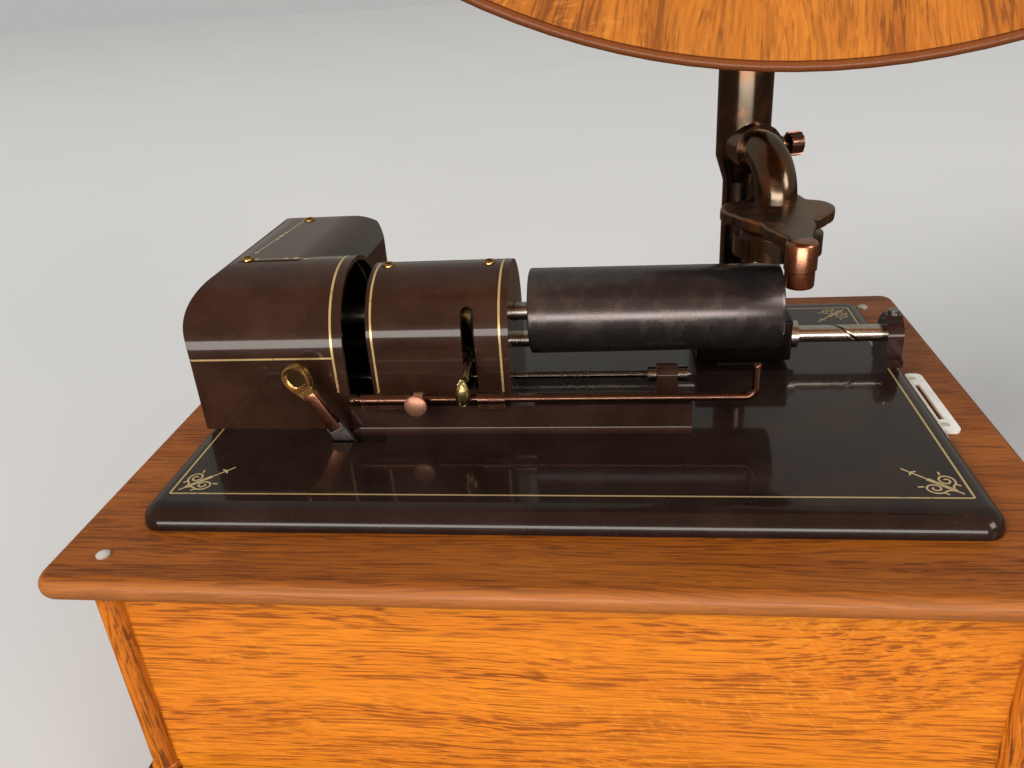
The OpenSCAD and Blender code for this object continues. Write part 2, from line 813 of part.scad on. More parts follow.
module oil_caps() {
    motor_z = bed_z + hump_h;
    feed_z = feed_cover_p[1] + feed_cover_r + 0.05;
    left = motor_cover_x + cover_edge_r + 1;
    places = [[left, mandrel_y + 3, motor_z], [left + 9, hump_back - hump_r - 3, motor_z],
        [feed_cover_x + 8, mandrel_y, feed_z], [feed_cover_end - 12, mandrel_y, feed_z]];
    color("goldenrod") for (p = places) translate(p) {
        cylinder(r = oil_cap_r, h = oil_cap_h * 0.5);
        cylinder(r = oil_cap_r * 0.6, h = oil_cap_h);
    }
}

module guide_rod() {
    collar_x = foot_x + foot_w / 2;
    color("lightsteelblue") {
        bar_x(left_post_x, right_post_x + post_t, rod_p, rod_r);
        bar_x(collar_x, collar_x + 4, rod_p, rod_r + 3);
    }
}

module right_post() {
    color("#33150f") difference() {
        on_x(right_post_x) linear_extrude(post_t) {
            pedestal(rod_p, rod_r + 6, 30);
            corner_rect([rod_p[0] - 4, rod_p[1]], [rod_p[0] + 4, post_top]);
        }
        bar_x(right_post_x - eps, right_post_x + post_t + eps, rod_p, rod_r + run_fit);
    }
}

module post_screw() {
    color("dimgray") translate([right_post_x + post_t / 2, rod_y, post_top]) difference() {
        cylinder(r = 3, h = 2.4);
        translate([-5, -0.5, 1.4]) cube([10, 1, 2]);
    }
}

module left_post() {
    color("#33150f") difference() {
        on_x(left_post_x) linear_extrude(left_post_t) {
            pedestal(rod_p, rod_r + 5, 26);
            pedestal(screw_p, screw_r + 5, 18);
            corner_rect([screw_p[0], bed_z], [rod_p[0], bed_z + 8]);
        }
        bar_x(left_post_x - eps, left_post_x + left_post_t + eps, rod_p, rod_r + run_fit);
        bar_x(left_post_x + 3, left_post_x + left_post_t + eps, screw_p, screw_r + run_fit);
    }
}

module screw_post() {
    color("#33150f") difference() {
        on_x(screw_post_x) linear_extrude(screw_post_t) pedestal(screw_p, screw_r + 4, 20);
        bar_x(screw_post_x - eps, screw_post_x + screw_post_t + eps, screw_p, screw_r + run_fit);
    }
}

// Standing plate that carries the spindle and the feed screw
module spindle_bearing(x) {
    foot = 4;
    difference() {
        on_x(x) linear_extrude(bearing_t) {
            translate(mandrel_p) circle(spindle_r + 6);
            polygon([[screw_p[0] - 10, bed_z], [mandrel_y + 24, bed_z], [mandrel_y + 24, bed_z + foot],
                [mandrel_y + spindle_r + 6, mandrel_p[1]], [mandrel_y - spindle_r - 6, mandrel_p[1]],
                [screw_p[0] - 10, feed_pivot_p[1]]]);
        }
        bar_x(x - eps, x + bearing_t + eps, mandrel_p, spindle_r + run_fit);
        bar_x(x - eps, x + bearing_t + eps, screw_p, screw_r + run_fit);
    }
}

module left_bearing() color("dimgray") spindle_bearing(left_bearing_x);

module right_bearing() {
    color("dimgray") difference() {
        spindle_bearing(right_bearing_x);
        bar_x(right_bearing_x - eps, right_bearing_x + bearing_t + eps, feed_pivot_p,
            feed_pivot_r + run_fit);
    }
}

module column_foot() {
    color("#2a120d") difference() {
        translate([foot_x, column_y - 2, bed_z]) linear_extrude(foot_h) round_rect(foot_w, 50, 8);
        bar_x(foot_x - foot_w / 2 - eps, foot_x + foot_w / 2 + eps, rod_p, rod_r + run_fit);
    }
}

module horn_column() {
    base = bed_z + foot_h;
    top = bed_z + column_h;
    waist = bed_z + branch_h - 20;
    color("#4a2a1c") difference() {
        union() {
            translate([column_x, column_y, 0]) rotate_extrude() polygon([[0, base], [column_low_r + 6, base],
                [column_low_r + 6, base + 4], [column_low_r, base + 10], [column_low_r, waist],
                [column_up_r, waist + 14], [column_up_r, top], [0, top]]);
            at_branch() rotate([0, 90, 0]) cylinder(r = ring_r, h = branch_l);
            at_branch() translate([thumb_s, 0, 0]) rotate([-90, 0, 0]) cylinder(r = 5, h = ring_r + 2);
        }
        translate([column_x, column_y, bed_z + branch_h - elbow_r])
            cylinder(r = neck_spigot_r + run_fit, h = column_h - branch_h + elbow_r + eps);
        at_branch() rotate([0, 90, 0]) cylinder(r = elbow_r + run_fit, h = branch_l + eps);
        at_branch() translate([thumb_s, 0, 0]) rotate([-90, 0, 0])
            cylinder(r = thumb_shank_r + run_fit, h = 40);
    }
}

module stop_rod_bearings() {
    color("#5a3522") for (b = stop_bearings) difference() {
        union() {
            bar_x(b[0], b[1], stop_p, stop_r + 1.2);
            translate([b[0], stop_p[0] - stop_r, bed_z + rail_h])
                cube([b[1] - b[0], 7, stop_p[1] - bed_z - rail_h]);
        }
        bar_x(b[0] - eps, b[1] + eps, stop_p, stop_r + run_fit);
    }
}

module crank_bush() {
    color("silver") difference() {
        union() {
            bar_x(panel_x, panel_x + panel_t, crank_p, bush_r);
            bar_x(panel_x + panel_t, panel_x + panel_t + 3, crank_p, bush_r + 6);
        }
        bar_x(panel_x - eps, panel_x + panel_t + 4, crank_p, crank_r + run_fit);
    }
}

// Motor plate with the bores of the arbors it carries
module motor_plate(x, bores) {
    difference() {
        on_x(x) linear_extrude(motor_plate_t)
            translate([(motor_front + motor_back) / 2, case_h - motor_plate_h / 2])
            round_rect(motor_back - motor_front, motor_plate_h, 12);
        for (b = bores) bar_x(x - eps, x + motor_plate_t + eps, b[0], b[1] + run_fit);
    }
}

motor_bores = [[mid_p, arbor_r], [barrel_p, winding_r], [output_p, arbor_r], [governor_p, governor_arbor_r]];

module motor_plate_left() color("darkgoldenrod") motor_plate(plate_left_x, motor_bores);

module motor_plate_right() {
    color("darkgoldenrod") motor_plate(plate_right_x, concat(motor_bores, [[crank_p, crank_r]]));
}

module motor_pillars() {
    color("gray") for (y = [motor_front + 9, motor_back - 9], z = [case_h - 10, case_h - motor_plate_h + 9])
        bar_x(plate_left_x + motor_plate_t, plate_right_x, [y, z], pillar_r);
}

module carriage() {
    low = rod_p[1] - 7;
    high = rod_p[1] + 7;
    color("dimgray") difference() {
        union() {
            on_x(carriage_x) linear_extrude(carriage_t) {
                translate(mandrel_p) circle(spindle_r + 7);
                translate(screw_p) circle(screw_r + 5);
                corner_rect([mandrel_y - 7, low], [mandrel_y + 7, mandrel_p[1]]);
                corner_rect([screw_p[0], low], [rod_p[0], high]);
            }
            bar_x(carriage_x, carriage_x + sleeve_l, rod_p, rod_r + sleeve_wall);
        }
        bar_x(carriage_x - eps, carriage_x + sleeve_l + eps, rod_p, rod_r + run_fit);
        bar_x(carriage_x - eps, carriage_x + carriage_t + eps, mandrel_p, spindle_r + run_fit);
        bar_x(carriage_x - eps, carriage_x + carriage_t + eps, screw_p, screw_r + 1);
    }
}

module half_nut() {
    color("goldenrod") difference() {
        bar_x(carriage_x - half_nut_l, carriage_x, screw_p, screw_r + 4);
        bar_x(carriage_x - half_nut_l - eps, carriage_x + eps, screw_p, screw_r + side_fit);
        on_x(carriage_x - half_nut_l - eps) linear_extrude(half_nut_l + 2 * eps)
            corner_rect([screw_p[0] - 10, screw_p[1] - 10], [screw_p[0] + 10, screw_p[1]]);
    }
}

module mandrel() {
    left = mandrel_d_left / 2;
    right = mandrel_d_right / 2;
    end_wall = 4;
    recess = 5;
    hub = spindle_r + 4;
    color("#4b4a4c") on_x(mandrel_x, mandrel_p) difference() {
        rotate_extrude() polygon([[0, 0], [left - 1, 0], [left, 1], [right, mandrel_l - 1],
            [right - 1, mandrel_l], [right - mandrel_wall, mandrel_l],
            [right - mandrel_wall, mandrel_l - recess], [0, mandrel_l - recess]]);
        rotate_extrude() polygon([[hub, end_wall], [left - mandrel_wall, end_wall],
            [right - mandrel_wall, mandrel_l - recess - end_wall], [hub, mandrel_l - recess - end_wall]]);
        translate([0, 0, -eps]) cylinder(r = spindle_r + run_fit, h = mandrel_l + 2 * eps);
    }
}

module spindle() {
    collar = 3;
    x0 = carriage_x - side_fit - collar;
    x1 = mandrel_x + mandrel_l - 3;
    key_x0 = gear_x - travel - 2;
    key_x1 = pulley_x + pulley_w + 4;
    color("silver") difference() {
        union() {
            bar_x(x0, x1, mandrel_p, spindle_r);
            bar_x(x0, x0 + collar, mandrel_p, spindle_r + 3);
            bar_x(carriage_x + carriage_t + side_fit, carriage_x + carriage_t + side_fit + collar, mandrel_p,
                spindle_r + 3);
        }
        translate([key_x0, mandrel_y - key_w / 2, mandrel_p[1] + spindle_r - key_d])
            cube([key_x1 - key_x0, key_w, key_d + eps]);
    }
}

// Grooved pulley for the belt
module pulley(x, p) {
    rim = (pulley_w - belt_w - 1) / 2;
    bar_x(x, x + pulley_w, p, pulley_r);
    for (s = [0, pulley_w - rim]) bar_x(x + s, x + s + rim, p, pulley_r + belt_t - 0.2);
}

module drive_pulley() {
    x0 = left_bearing_x + bearing_t + side_fit;
    x1 = right_bearing_x - side_fit;
    color("tan") {
        difference() {
            union() {
                pulley(pulley_x, mandrel_p);
                gear_x_axis(gear_x, mandrel_p, drive_teeth, gear_w, heading(mandrel_p, screw_p));
                bar_x(x0, x1, mandrel_p, spindle_r + 3);
            }
            bar_x(x0 - eps, x1 + eps, mandrel_p, spindle_r + run_fit);
        }
        translate([gear_x, mandrel_y - key_w / 2 + 0.1, mandrel_p[1] + spindle_r - key_d + 0.2])
            cube([pulley_x + pulley_w - gear_x, key_w - 0.2, key_d + 1]);
    }
}

module drive_belt() {
    x = pulley_x + (pulley_w - belt_w) / 2;
    inner = pulley_r + side_fit;
    outer = inner + belt_t - side_fit;
    color("#5b3a21") on_x(x) linear_extrude(belt_w) difference() {
        union() {
            for (p = [mandrel_p, output_p]) translate(p) circle(outer);
            corner_rect([mandrel_y - outer, output_p[1]], [mandrel_y + outer, mandrel_p[1]]);
        }
        for (p = [mandrel_p, output_p]) translate(p) circle(inner);
        corner_rect([mandrel_y - inner, output_p[1]], [mandrel_y + inner, mandrel_p[1]]);
    }
}

module feed_screw() {
    color("lightgray") {
        bar_x(left_post_x + 3 + side_fit, screw_post_x + screw_post_t + 7, screw_p, screw_r);
        bar_x(screw_post_x - 4.5, screw_post_x - side_fit, screw_p, screw_r + 2);
        bar_x(screw_post_x + screw_post_t + side_fit, screw_post_x + screw_post_t + 5.5, screw_p,
            screw_r + 2);
    }
}

module feed_screw_gear() {
    color("goldenrod") difference() {
        union() {
            gear_x_axis(gear_x, screw_p, screw_teeth, gear_w, mesh_phase(mandrel_p, screw_p, screw_teeth));
            bar_x(gear_x, gear_x + gear_w + 3, screw_p, screw_r + 3);
        }
        bar_x(gear_x - eps, gear_x + gear_w + 4, screw_p, screw_r + run_fit);
    }
}

module start_lever() {
    hub_r = 5;
    color("slategray") at_start() difference() {
        union() {
            translate([0, -start_t, 0]) rotate([-90, 0, 0]) cylinder(r = hub_r, h = 2 * start_t);
            translate([-start_w / 2, -start_t / 2, 0]) cube([start_w, start_t, start_blade_l]);
            translate([-start_shank_w / 2, -2, start_blade_l - 3])
                cube([start_shank_w, 4, start_shank_l + 3]);
        }
        translate([0, -10, 0]) rotate([-90, 0, 0]) cylinder(r = start_pin_r + run_fit, h = 20);
    }
}

module start_finger() {
    z0 = start_blade_l + start_shank_l;
    r = start_finger_l / 3;
    zc = z0 + start_finger_l - r;
    color("goldenrod") at_start() translate([0, 2, 0]) rotate([90, 0, 0]) linear_extrude(4) {
        translate([0, zc]) circle(r);
        polygon([[-start_shank_w / 2, z0], [start_shank_w / 2, z0], polar([0, zc], r, -8),
            polar([0, zc], r, 188)]);
    }
}

module feed_lever() {
    knee = [stop_p[0] + 6, feed_pivot_p[1]];
    tip = [stop_p[0] - 9, stop_p[1] + 5];
    color("goldenrod") {
        bar_x(slot_x - 3, right_bearing_x + bearing_t, feed_pivot_p, feed_pivot_r);
        bar_x(slot_x - 3, slot_x + 3, feed_pivot_p, feed_pivot_r + 0.8);
        strut(slot_x, feed_pivot_p, knee, 1.9);
        translate([slot_x, knee[0], knee[1]]) sphere(2.2);
        strut(slot_x, knee, tip, 1.9);
        translate([slot_x, tip[0], tip[1]]) sphere(feed_knob_r);
    }
}

module stop_rod() {
    left = motor_cover_end + 3;
    color("#7a4a33") {
        bar_x(left, stop_end - stop_bend, stop_p, stop_r);
        translate([left, stop_p[0], stop_p[1]]) sphere(stop_r + 0.9);
        translate([stop_end - stop_bend, stop_p[0], stop_p[1] + stop_bend]) rotate([90, 0, 0])
            rotate([0, 0, -90]) rotate_extrude(angle = 90) translate([stop_bend, 0]) circle(stop_r);
        translate([stop_end, stop_p[0], stop_p[1] + stop_bend])
            cylinder(r = stop_r, h = stop_finger - stop_bend);
        translate([stop_end, stop_p[0], stop_p[1] + stop_finger]) sphere(stop_r);
    }
}

module stop_knob() {
    color("#7a4a33") difference() {
        union() {
            bar_x(stop_knob_x - 2.6, stop_knob_x + 2.6, stop_p, stop_r + 1.6);
            translate([stop_knob_x, stop_p[0], stop_p[1]]) rotate([90, 0, 0]) {
                cylinder(r = 1.6, h = 8);
                translate([0, 0, 7]) cylinder(r = 6, h = 2.6);
            }
        }
        bar_x(stop_knob_x - 4, stop_knob_x + 4, stop_p, stop_r + run_fit);
    }
}

// Solid of the tone elbow at a tube radius r
module elbow_form(r, extra) {
    translate([5 - extra, 0, 0]) rotate([0, 90, 0]) cylinder(r = r, h = branch_l - 5 + extra);
    translate([branch_l, 0, -elbow_bend]) rotate([90, 0, 0]) rotate_extrude(angle = 90)
        translate([elbow_bend, 0]) circle(r);
    translate([elbow_end, 0, -elbow_bend - 5 - extra]) cylinder(r = r, h = 5 + extra);
}

module tone_elbow() {
    color("#6b3f2c") at_branch() difference() {
        elbow_form(elbow_r, 0);
        elbow_form(elbow_r - elbow_wall, eps);
    }
}

module reproducer_plate() {
    ears = [[stylus_x, stylus_y + 2, 21], [stylus_x - 18, stylus_y + 7, 11],
        [stylus_x + 17, stylus_y + 5, 11], [tube_x, tube_y, elbow_r + 4], [weight_x, weight_y, weight_r]];
    half = weight_r - 0.8;
    color("#6b3f2c") difference() {
        union() {
            for (e = ears) translate([e[0], e[1], plate_z]) cylinder(r = e[2], h = plate_t);
            translate([0, 0, plate_z]) linear_extrude(plate_t) polygon([[stylus_x - 6, stylus_y],
                [stylus_x + 11, stylus_y], [weight_x + half, weight_y], [weight_x - half, weight_y]]);
        }
        translate([tube_x, tube_y, plate_z - eps]) cylinder(r = elbow_r - elbow_wall, h = plate_t + 2 * eps);
    }
}

module reproducer_drum() {
    z = plate_z - sound_drum_h;
    color("#5a3826") difference() {
        translate([stylus_x, stylus_y, z]) cylinder(r = sound_drum_r, h = sound_drum_h);
        translate([stylus_x, stylus_y, z - eps]) cylinder(r = sound_drum_r - 3, h = 5 + eps);
        translate([stylus_x, stylus_y, z]) cylinder(r = sound_drum_r - 6, h = 6.5);
        translate([tube_x, tube_y, z + 5]) cylinder(r = 4, h = sound_drum_h);
    }
}

module diaphragm() {
    color("gainsboro") translate([stylus_x, stylus_y, plate_z - sound_drum_h + 4])
        cylinder(r = sound_drum_r - 3 - seat_fit, h = 1);
}

module stylus_arm() {
    z = plate_z - sound_drum_h;
    color("silver") translate([stylus_x, stylus_y, 0]) {
        translate([0, 0, z]) cylinder(r = 1, h = 4);
        translate([-1.2, 0, z]) cube([2.4, sound_drum_r - 3.05, 1.5]);
        translate([0, 0, z - 2]) cylinder(r1 = 0.3, r2 = 1, h = 2);
    }
}

module reproducer_weight() {
    color("#8a5238") translate([weight_x, weight_y, plate_z - weight_l]) {
        cylinder(r = weight_r - 0.6, h = weight_l * 0.55);
        translate([0, 0, weight_l * 0.55]) cylinder(r = weight_r, h = weight_l * 0.45);
    }
}

module thumbscrew() {
    color("#3c2418") at_branch() translate([thumb_s, 0, 0]) rotate([-90, 0, 0]) {
        translate([0, 0, elbow_r + side_fit]) cylinder(r = thumb_shank_r, h = ring_r + 3 - elbow_r);
        translate([0, 0, ring_r + 2 + side_fit]) cylinder(r = thumb_r, h = 7);
    }
}

// Middle line of the horn's neck, as [y, z, direction]
neck_base = [[column_y, neck_z + neck_flange, 90], [column_y, neck_z + neck_flange + neck_rise, 90]];
neck_low = [column_y + neck_bend, neck_z + neck_flange + neck_rise];
neck_back = [neck_low[0] + neck_run, neck_low[1] + neck_bend];
neck_path = concat(
    neck_base,
    [for (i = [1:neck_steps]) let (a = i * 90 / neck_steps)
        [neck_low[0] - neck_bend * cos(a), neck_low[1] + neck_bend * sin(a), 90 - a]],
    [for (i = [0:neck_turns]) let (a = i * 180 / neck_turns)
        [neck_back[0] + neck_top_bend * sin(a), neck_back[1] + neck_top_bend * (1 - cos(a)), a]]
);
neck_rings = len(neck_path);

// Points of one ring of the neck
function neck_ring(i, r) = [
    for (j = [0:neck_sides - 1])
        let (t = j * 360 / neck_sides, p = neck_path[i])
        [column_x + r * cos(t), p[0] - r * sin(t) * sin(p[2]), p[1] + r * sin(t) * cos(p[2])]
];

// Outer radius of the neck at a ring
function neck_r_at(i) = neck_r + (throat_r + bell_wall - neck_r) * i / (neck_rings - 1);

// Two triangles between four corners of a ring and the next
function quad(a, b, c, d) = [[a, b, c], [a, c, d]];

module neck_tube() {
    m = neck_sides;
    inner = neck_rings * m;
    last = (neck_rings - 1) * m;
    points = concat(
        [for (i = [0:neck_rings - 1]) each neck_ring(i, neck_r_at(i))],
        [for (i = [0:neck_rings - 1]) each neck_ring(i, neck_r_at(i) - neck_wall)]
    );
    faces = concat(
        [for (i = [0:neck_rings - 2], j = [0:m - 1]) let (k = (j + 1) % m)
            each quad(i * m + j, i * m + k, (i + 1) * m + k, (i + 1) * m + j)],
        [for (i = [0:neck_rings - 2], j = [0:m - 1]) let (k = (j + 1) % m)
            each quad(inner + i * m + k, inner + i * m + j, inner + (i + 1) * m + j,
                inner + (i + 1) * m + k)],
        [for (j = [0:m - 1]) let (k = (j + 1) % m) each quad(j, inner + j, inner + k, k)],
        [for (j = [0:m - 1]) let (k = (j + 1) % m)
            each quad(last + k, inner + last + k, inner + last + j, last + j)]
    );
    polyhedron(points, faces);
}

module horn_neck() {
    color("#4a2a1c") {
        neck_tube();
        translate([column_x, column_y, 0]) rotate_extrude() polygon([
            [neck_spigot_r - 1.5, neck_z - neck_spigot_l], [neck_spigot_r, neck_z - neck_spigot_l],
            [neck_spigot_r, neck_z], [neck_r, neck_z], [neck_r, neck_z + neck_flange + 1],
            [neck_spigot_r - 1.5, neck_z + neck_flange + 1]]);
    }
}

module horn_bell() {
    n = 24;
    bead = bell_wall / 2 + 1;
    color("chocolate") translate([column_x, throat_y, bell_z]) rotate([90, 0, 0]) {
        rotate_extrude() polygon(concat(
            [for (i = [0:n]) let (a = bell_l * i / n) [bell_at(a), a]],
            [for (i = [n:-1:0]) let (a = bell_l * i / n) [bell_at(a) + bell_wall, a]]));
        translate([0, 0, bell_l - 0.7]) rotate_extrude() translate([bell_r + bell_wall / 2, 0]) circle(bead);
    }
}

module spring_barrel() {
    x1 = great_x - 1;
    color("darkgoldenrod") difference() {
        union() {
            bar_x(x1 - barrel_l, x1, barrel_p, barrel_r);
            bar_x(x1 - 1, great_x + gear_w, barrel_p, barrel_r * 0.6);
            gear_x_axis(great_x, barrel_p, great_teeth, gear_w, heading(barrel_p, mid_p));
            bar_x(plate_left_x + motor_plate_t + side_fit, plate_right_x - side_fit, barrel_p,
                winding_r + 6);
        }
        bar_x(plate_left_x, plate_right_x + motor_plate_t, barrel_p, winding_r + run_fit);
    }
}

module winding_arbor() {
    color("lightgray") {
        bar_x(plate_left_x, winding_x + gear_w, barrel_p, winding_r);
        gear_x_axis(winding_x, barrel_p, winding_teeth, gear_w, heading(barrel_p, crank_p));
    }
}

module intermediate_wheel() {
    color("goldenrod") {
        bar_x(plate_left_x, plate_right_x + motor_plate_t, mid_p, arbor_r);
        gear_x_axis(great_x - 1, mid_p, mid_pinion_teeth, gear_w + 2,
            mesh_phase(barrel_p, mid_p, mid_pinion_teeth));
        gear_x_axis(mid_x, mid_p, mid_wheel_teeth, 4, heading(mid_p, output_p));
    }
}

module output_arbor() {
    color("goldenrod") {
        bar_x(plate_left_x, pulley_x + pulley_w, output_p, arbor_r);
        gear_x_axis(mid_x - 1, output_p, out_pinion_teeth, 6, mesh_phase(mid_p, output_p, out_pinion_teeth));
        gear_x_axis(out_wheel_x, output_p, out_wheel_teeth, 4, heading(output_p, governor_p));
        pulley(pulley_x, output_p);
    }
}

module governor() {
    color("gray") {
        bar_x(plate_left_x, plate_right_x + motor_plate_t, governor_p, governor_arbor_r);
        gear_x_axis(out_wheel_x - 1, governor_p, gov_teeth, 6, mesh_phase(output_p, governor_p, gov_teeth));
        for (x = [governor_x - 12, governor_x + 12]) bar_x(x - 3, x + 3, governor_p, collar_r);
        bar_x(governor_x - 18, governor_x - 15, governor_p, governor_r);
        bar_x(governor_x - 18, governor_x - 10, governor_p, collar_r);
    }
}

module governor_weights() {
    color("darkgoldenrod") for (i = [0:2]) on_x(governor_x, governor_p) rotate([0, 0, i * 120]) {
        translate([collar_r + 7, 0, 0]) sphere(5);
        for (s = [-1, 1]) translate([collar_r, -2, s * 12 - 3]) cube([0.8, 4, 6]);
        for (s = [-1, 1]) translate([collar_r + 0.4, 0, s * 12]) rotate([0, -s * 30, 0])
            translate([-0.4, -2, s > 0 ? -14 : 0]) cube([0.8, 4, 14]);
    }
}

module winding_crank() {
    x1 = crank_arm_x + crank_arm_t;
    low = [crank_p[0], crank_p[1] - crank_throw];
    color("#3a3a3c") {
        bar_x(plate_right_x, crank_arm_x, crank_p, crank_r);
        gear_x_axis(winding_x, crank_p, crank_teeth, gear_w, mesh_phase(barrel_p, crank_p, crank_teeth));
        bar_x(crank_arm_x, x1, crank_p, crank_r + 5);
        on_x(crank_arm_x) linear_extrude(crank_arm_t) polygon([[low[0] - 6, low[1]], [low[0] + 6, low[1]],
            [crank_p[0] + 8, crank_p[1]], [crank_p[0] - 8, crank_p[1]]]);
        bar_x(crank_arm_x, x1, low, 9);
        bar_x(x1, x1 + handle_l + 2, low, handle_pin_r);
        bar_x(x1 + handle_l + 2 * side_fit, x1 + handle_l + 3, low, handle_pin_r + 2.5);
    }
}

module crank_handle() {
    low = [crank_p[0], crank_p[1] - crank_throw];
    color("sienna") on_x(crank_arm_x + crank_arm_t + side_fit, low) difference() {
        rotate_extrude() polygon(concat([[0, 0]],
            [for (i = [0:12]) let (t = i / 12)
                [handle_r - 2 + 2 * sin(t * 180) - 2 * pow(t - 0.5, 4) * 16, t * handle_l]],
            [[0, handle_l]]));
        translate([0, 0, -eps]) cylinder(r = handle_pin_r + run_fit, h = handle_l + 2 * eps);
    }
}

oak_top();
front_panel();
back_panel();
left_panel();
right_panel();
corner_columns();
base_moulding();
bottom_board();
lid_pins();
strike_plate();
strike_screws();
bedplate();
front_rail();
motor_cover();
feed_cover();
oil_caps();
guide_rod();
right_post();
post_screw();
left_post();
screw_post();
left_bearing();
right_bearing();
column_foot();
horn_column();
stop_rod_bearings();
crank_bush();
motor_plate_left();
motor_plate_right();
motor_pillars();
carriage();
half_nut();
mandrel();
spindle();
drive_pulley();
drive_belt();
feed_screw();
feed_screw_gear();
start_lever();
start_finger();
feed_lever();
stop_rod();
stop_knob();
tone_elbow();
reproducer_plate();
reproducer_drum();
diaphragm();
stylus_arm();
reproducer_weight();
thumbscrew();
horn_neck();
horn_bell();
spring_barrel();
winding_arbor();
intermediate_wheel();
output_arbor();
governor();
governor_weights();
winding_crank();
crank_handle();
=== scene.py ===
"""Cylinder phonograph: looks of the case, the works, the reproducer and the horn."""

import functools
import logging
import math
from collections.abc import Callable
from dataclasses import dataclass
from enum import Enum

import bpy
from mathutils import Matrix, Vector


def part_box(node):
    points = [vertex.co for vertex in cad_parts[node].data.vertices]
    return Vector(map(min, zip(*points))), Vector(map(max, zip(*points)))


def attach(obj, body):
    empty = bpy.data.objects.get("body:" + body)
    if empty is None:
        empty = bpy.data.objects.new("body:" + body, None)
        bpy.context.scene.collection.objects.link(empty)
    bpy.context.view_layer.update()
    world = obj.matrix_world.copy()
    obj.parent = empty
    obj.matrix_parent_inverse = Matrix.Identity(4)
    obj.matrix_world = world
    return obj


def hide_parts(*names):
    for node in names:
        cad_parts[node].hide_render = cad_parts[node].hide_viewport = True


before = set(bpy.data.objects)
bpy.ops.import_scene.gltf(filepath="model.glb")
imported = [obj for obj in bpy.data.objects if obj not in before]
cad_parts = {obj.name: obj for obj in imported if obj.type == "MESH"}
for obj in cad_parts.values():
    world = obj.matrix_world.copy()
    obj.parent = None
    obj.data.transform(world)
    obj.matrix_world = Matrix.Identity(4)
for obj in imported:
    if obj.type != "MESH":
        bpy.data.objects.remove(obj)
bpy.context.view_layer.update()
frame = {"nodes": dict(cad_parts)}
LOG = logging.getLogger("phonograph")
MM = 0.001
FAR = 9.9
LINE_SOFT = 0.0001
ORIGIN = (0.0, 0.0, 0.0)

Colour = tuple[float, float, float]
Point = tuple[float, float, float]
Pair = tuple[float, float]
Outline = tuple[Pair, ...]
Piece = bpy.types.Object
Socket = bpy.types.NodeSocket
Axes = tuple[Socket, Socket, Socket]
Values = dict[str | int, object]


class Grain(Enum):
    """Axis along which the fibres of a board run, as the turn that brings it onto X."""

    ALONG_X = (0.0, 0.0, 0.0)
    ALONG_Y = (0.0, 0.0, math.pi / 2)
    ALONG_Z = (0.0, math.pi / 2, 0.0)


class Body(Enum):
    """Bodies that new pieces ride on."""

    MACHINE = "machine"
    MANDREL = "mandrel"
    START = "start_lever"
    FEED = "feed_lever"
    STOP = "stop_rod"
    REPRODUCER = "reproducer"
    THUMBSCREW = "thumbscrew"
    HORN = "horn"


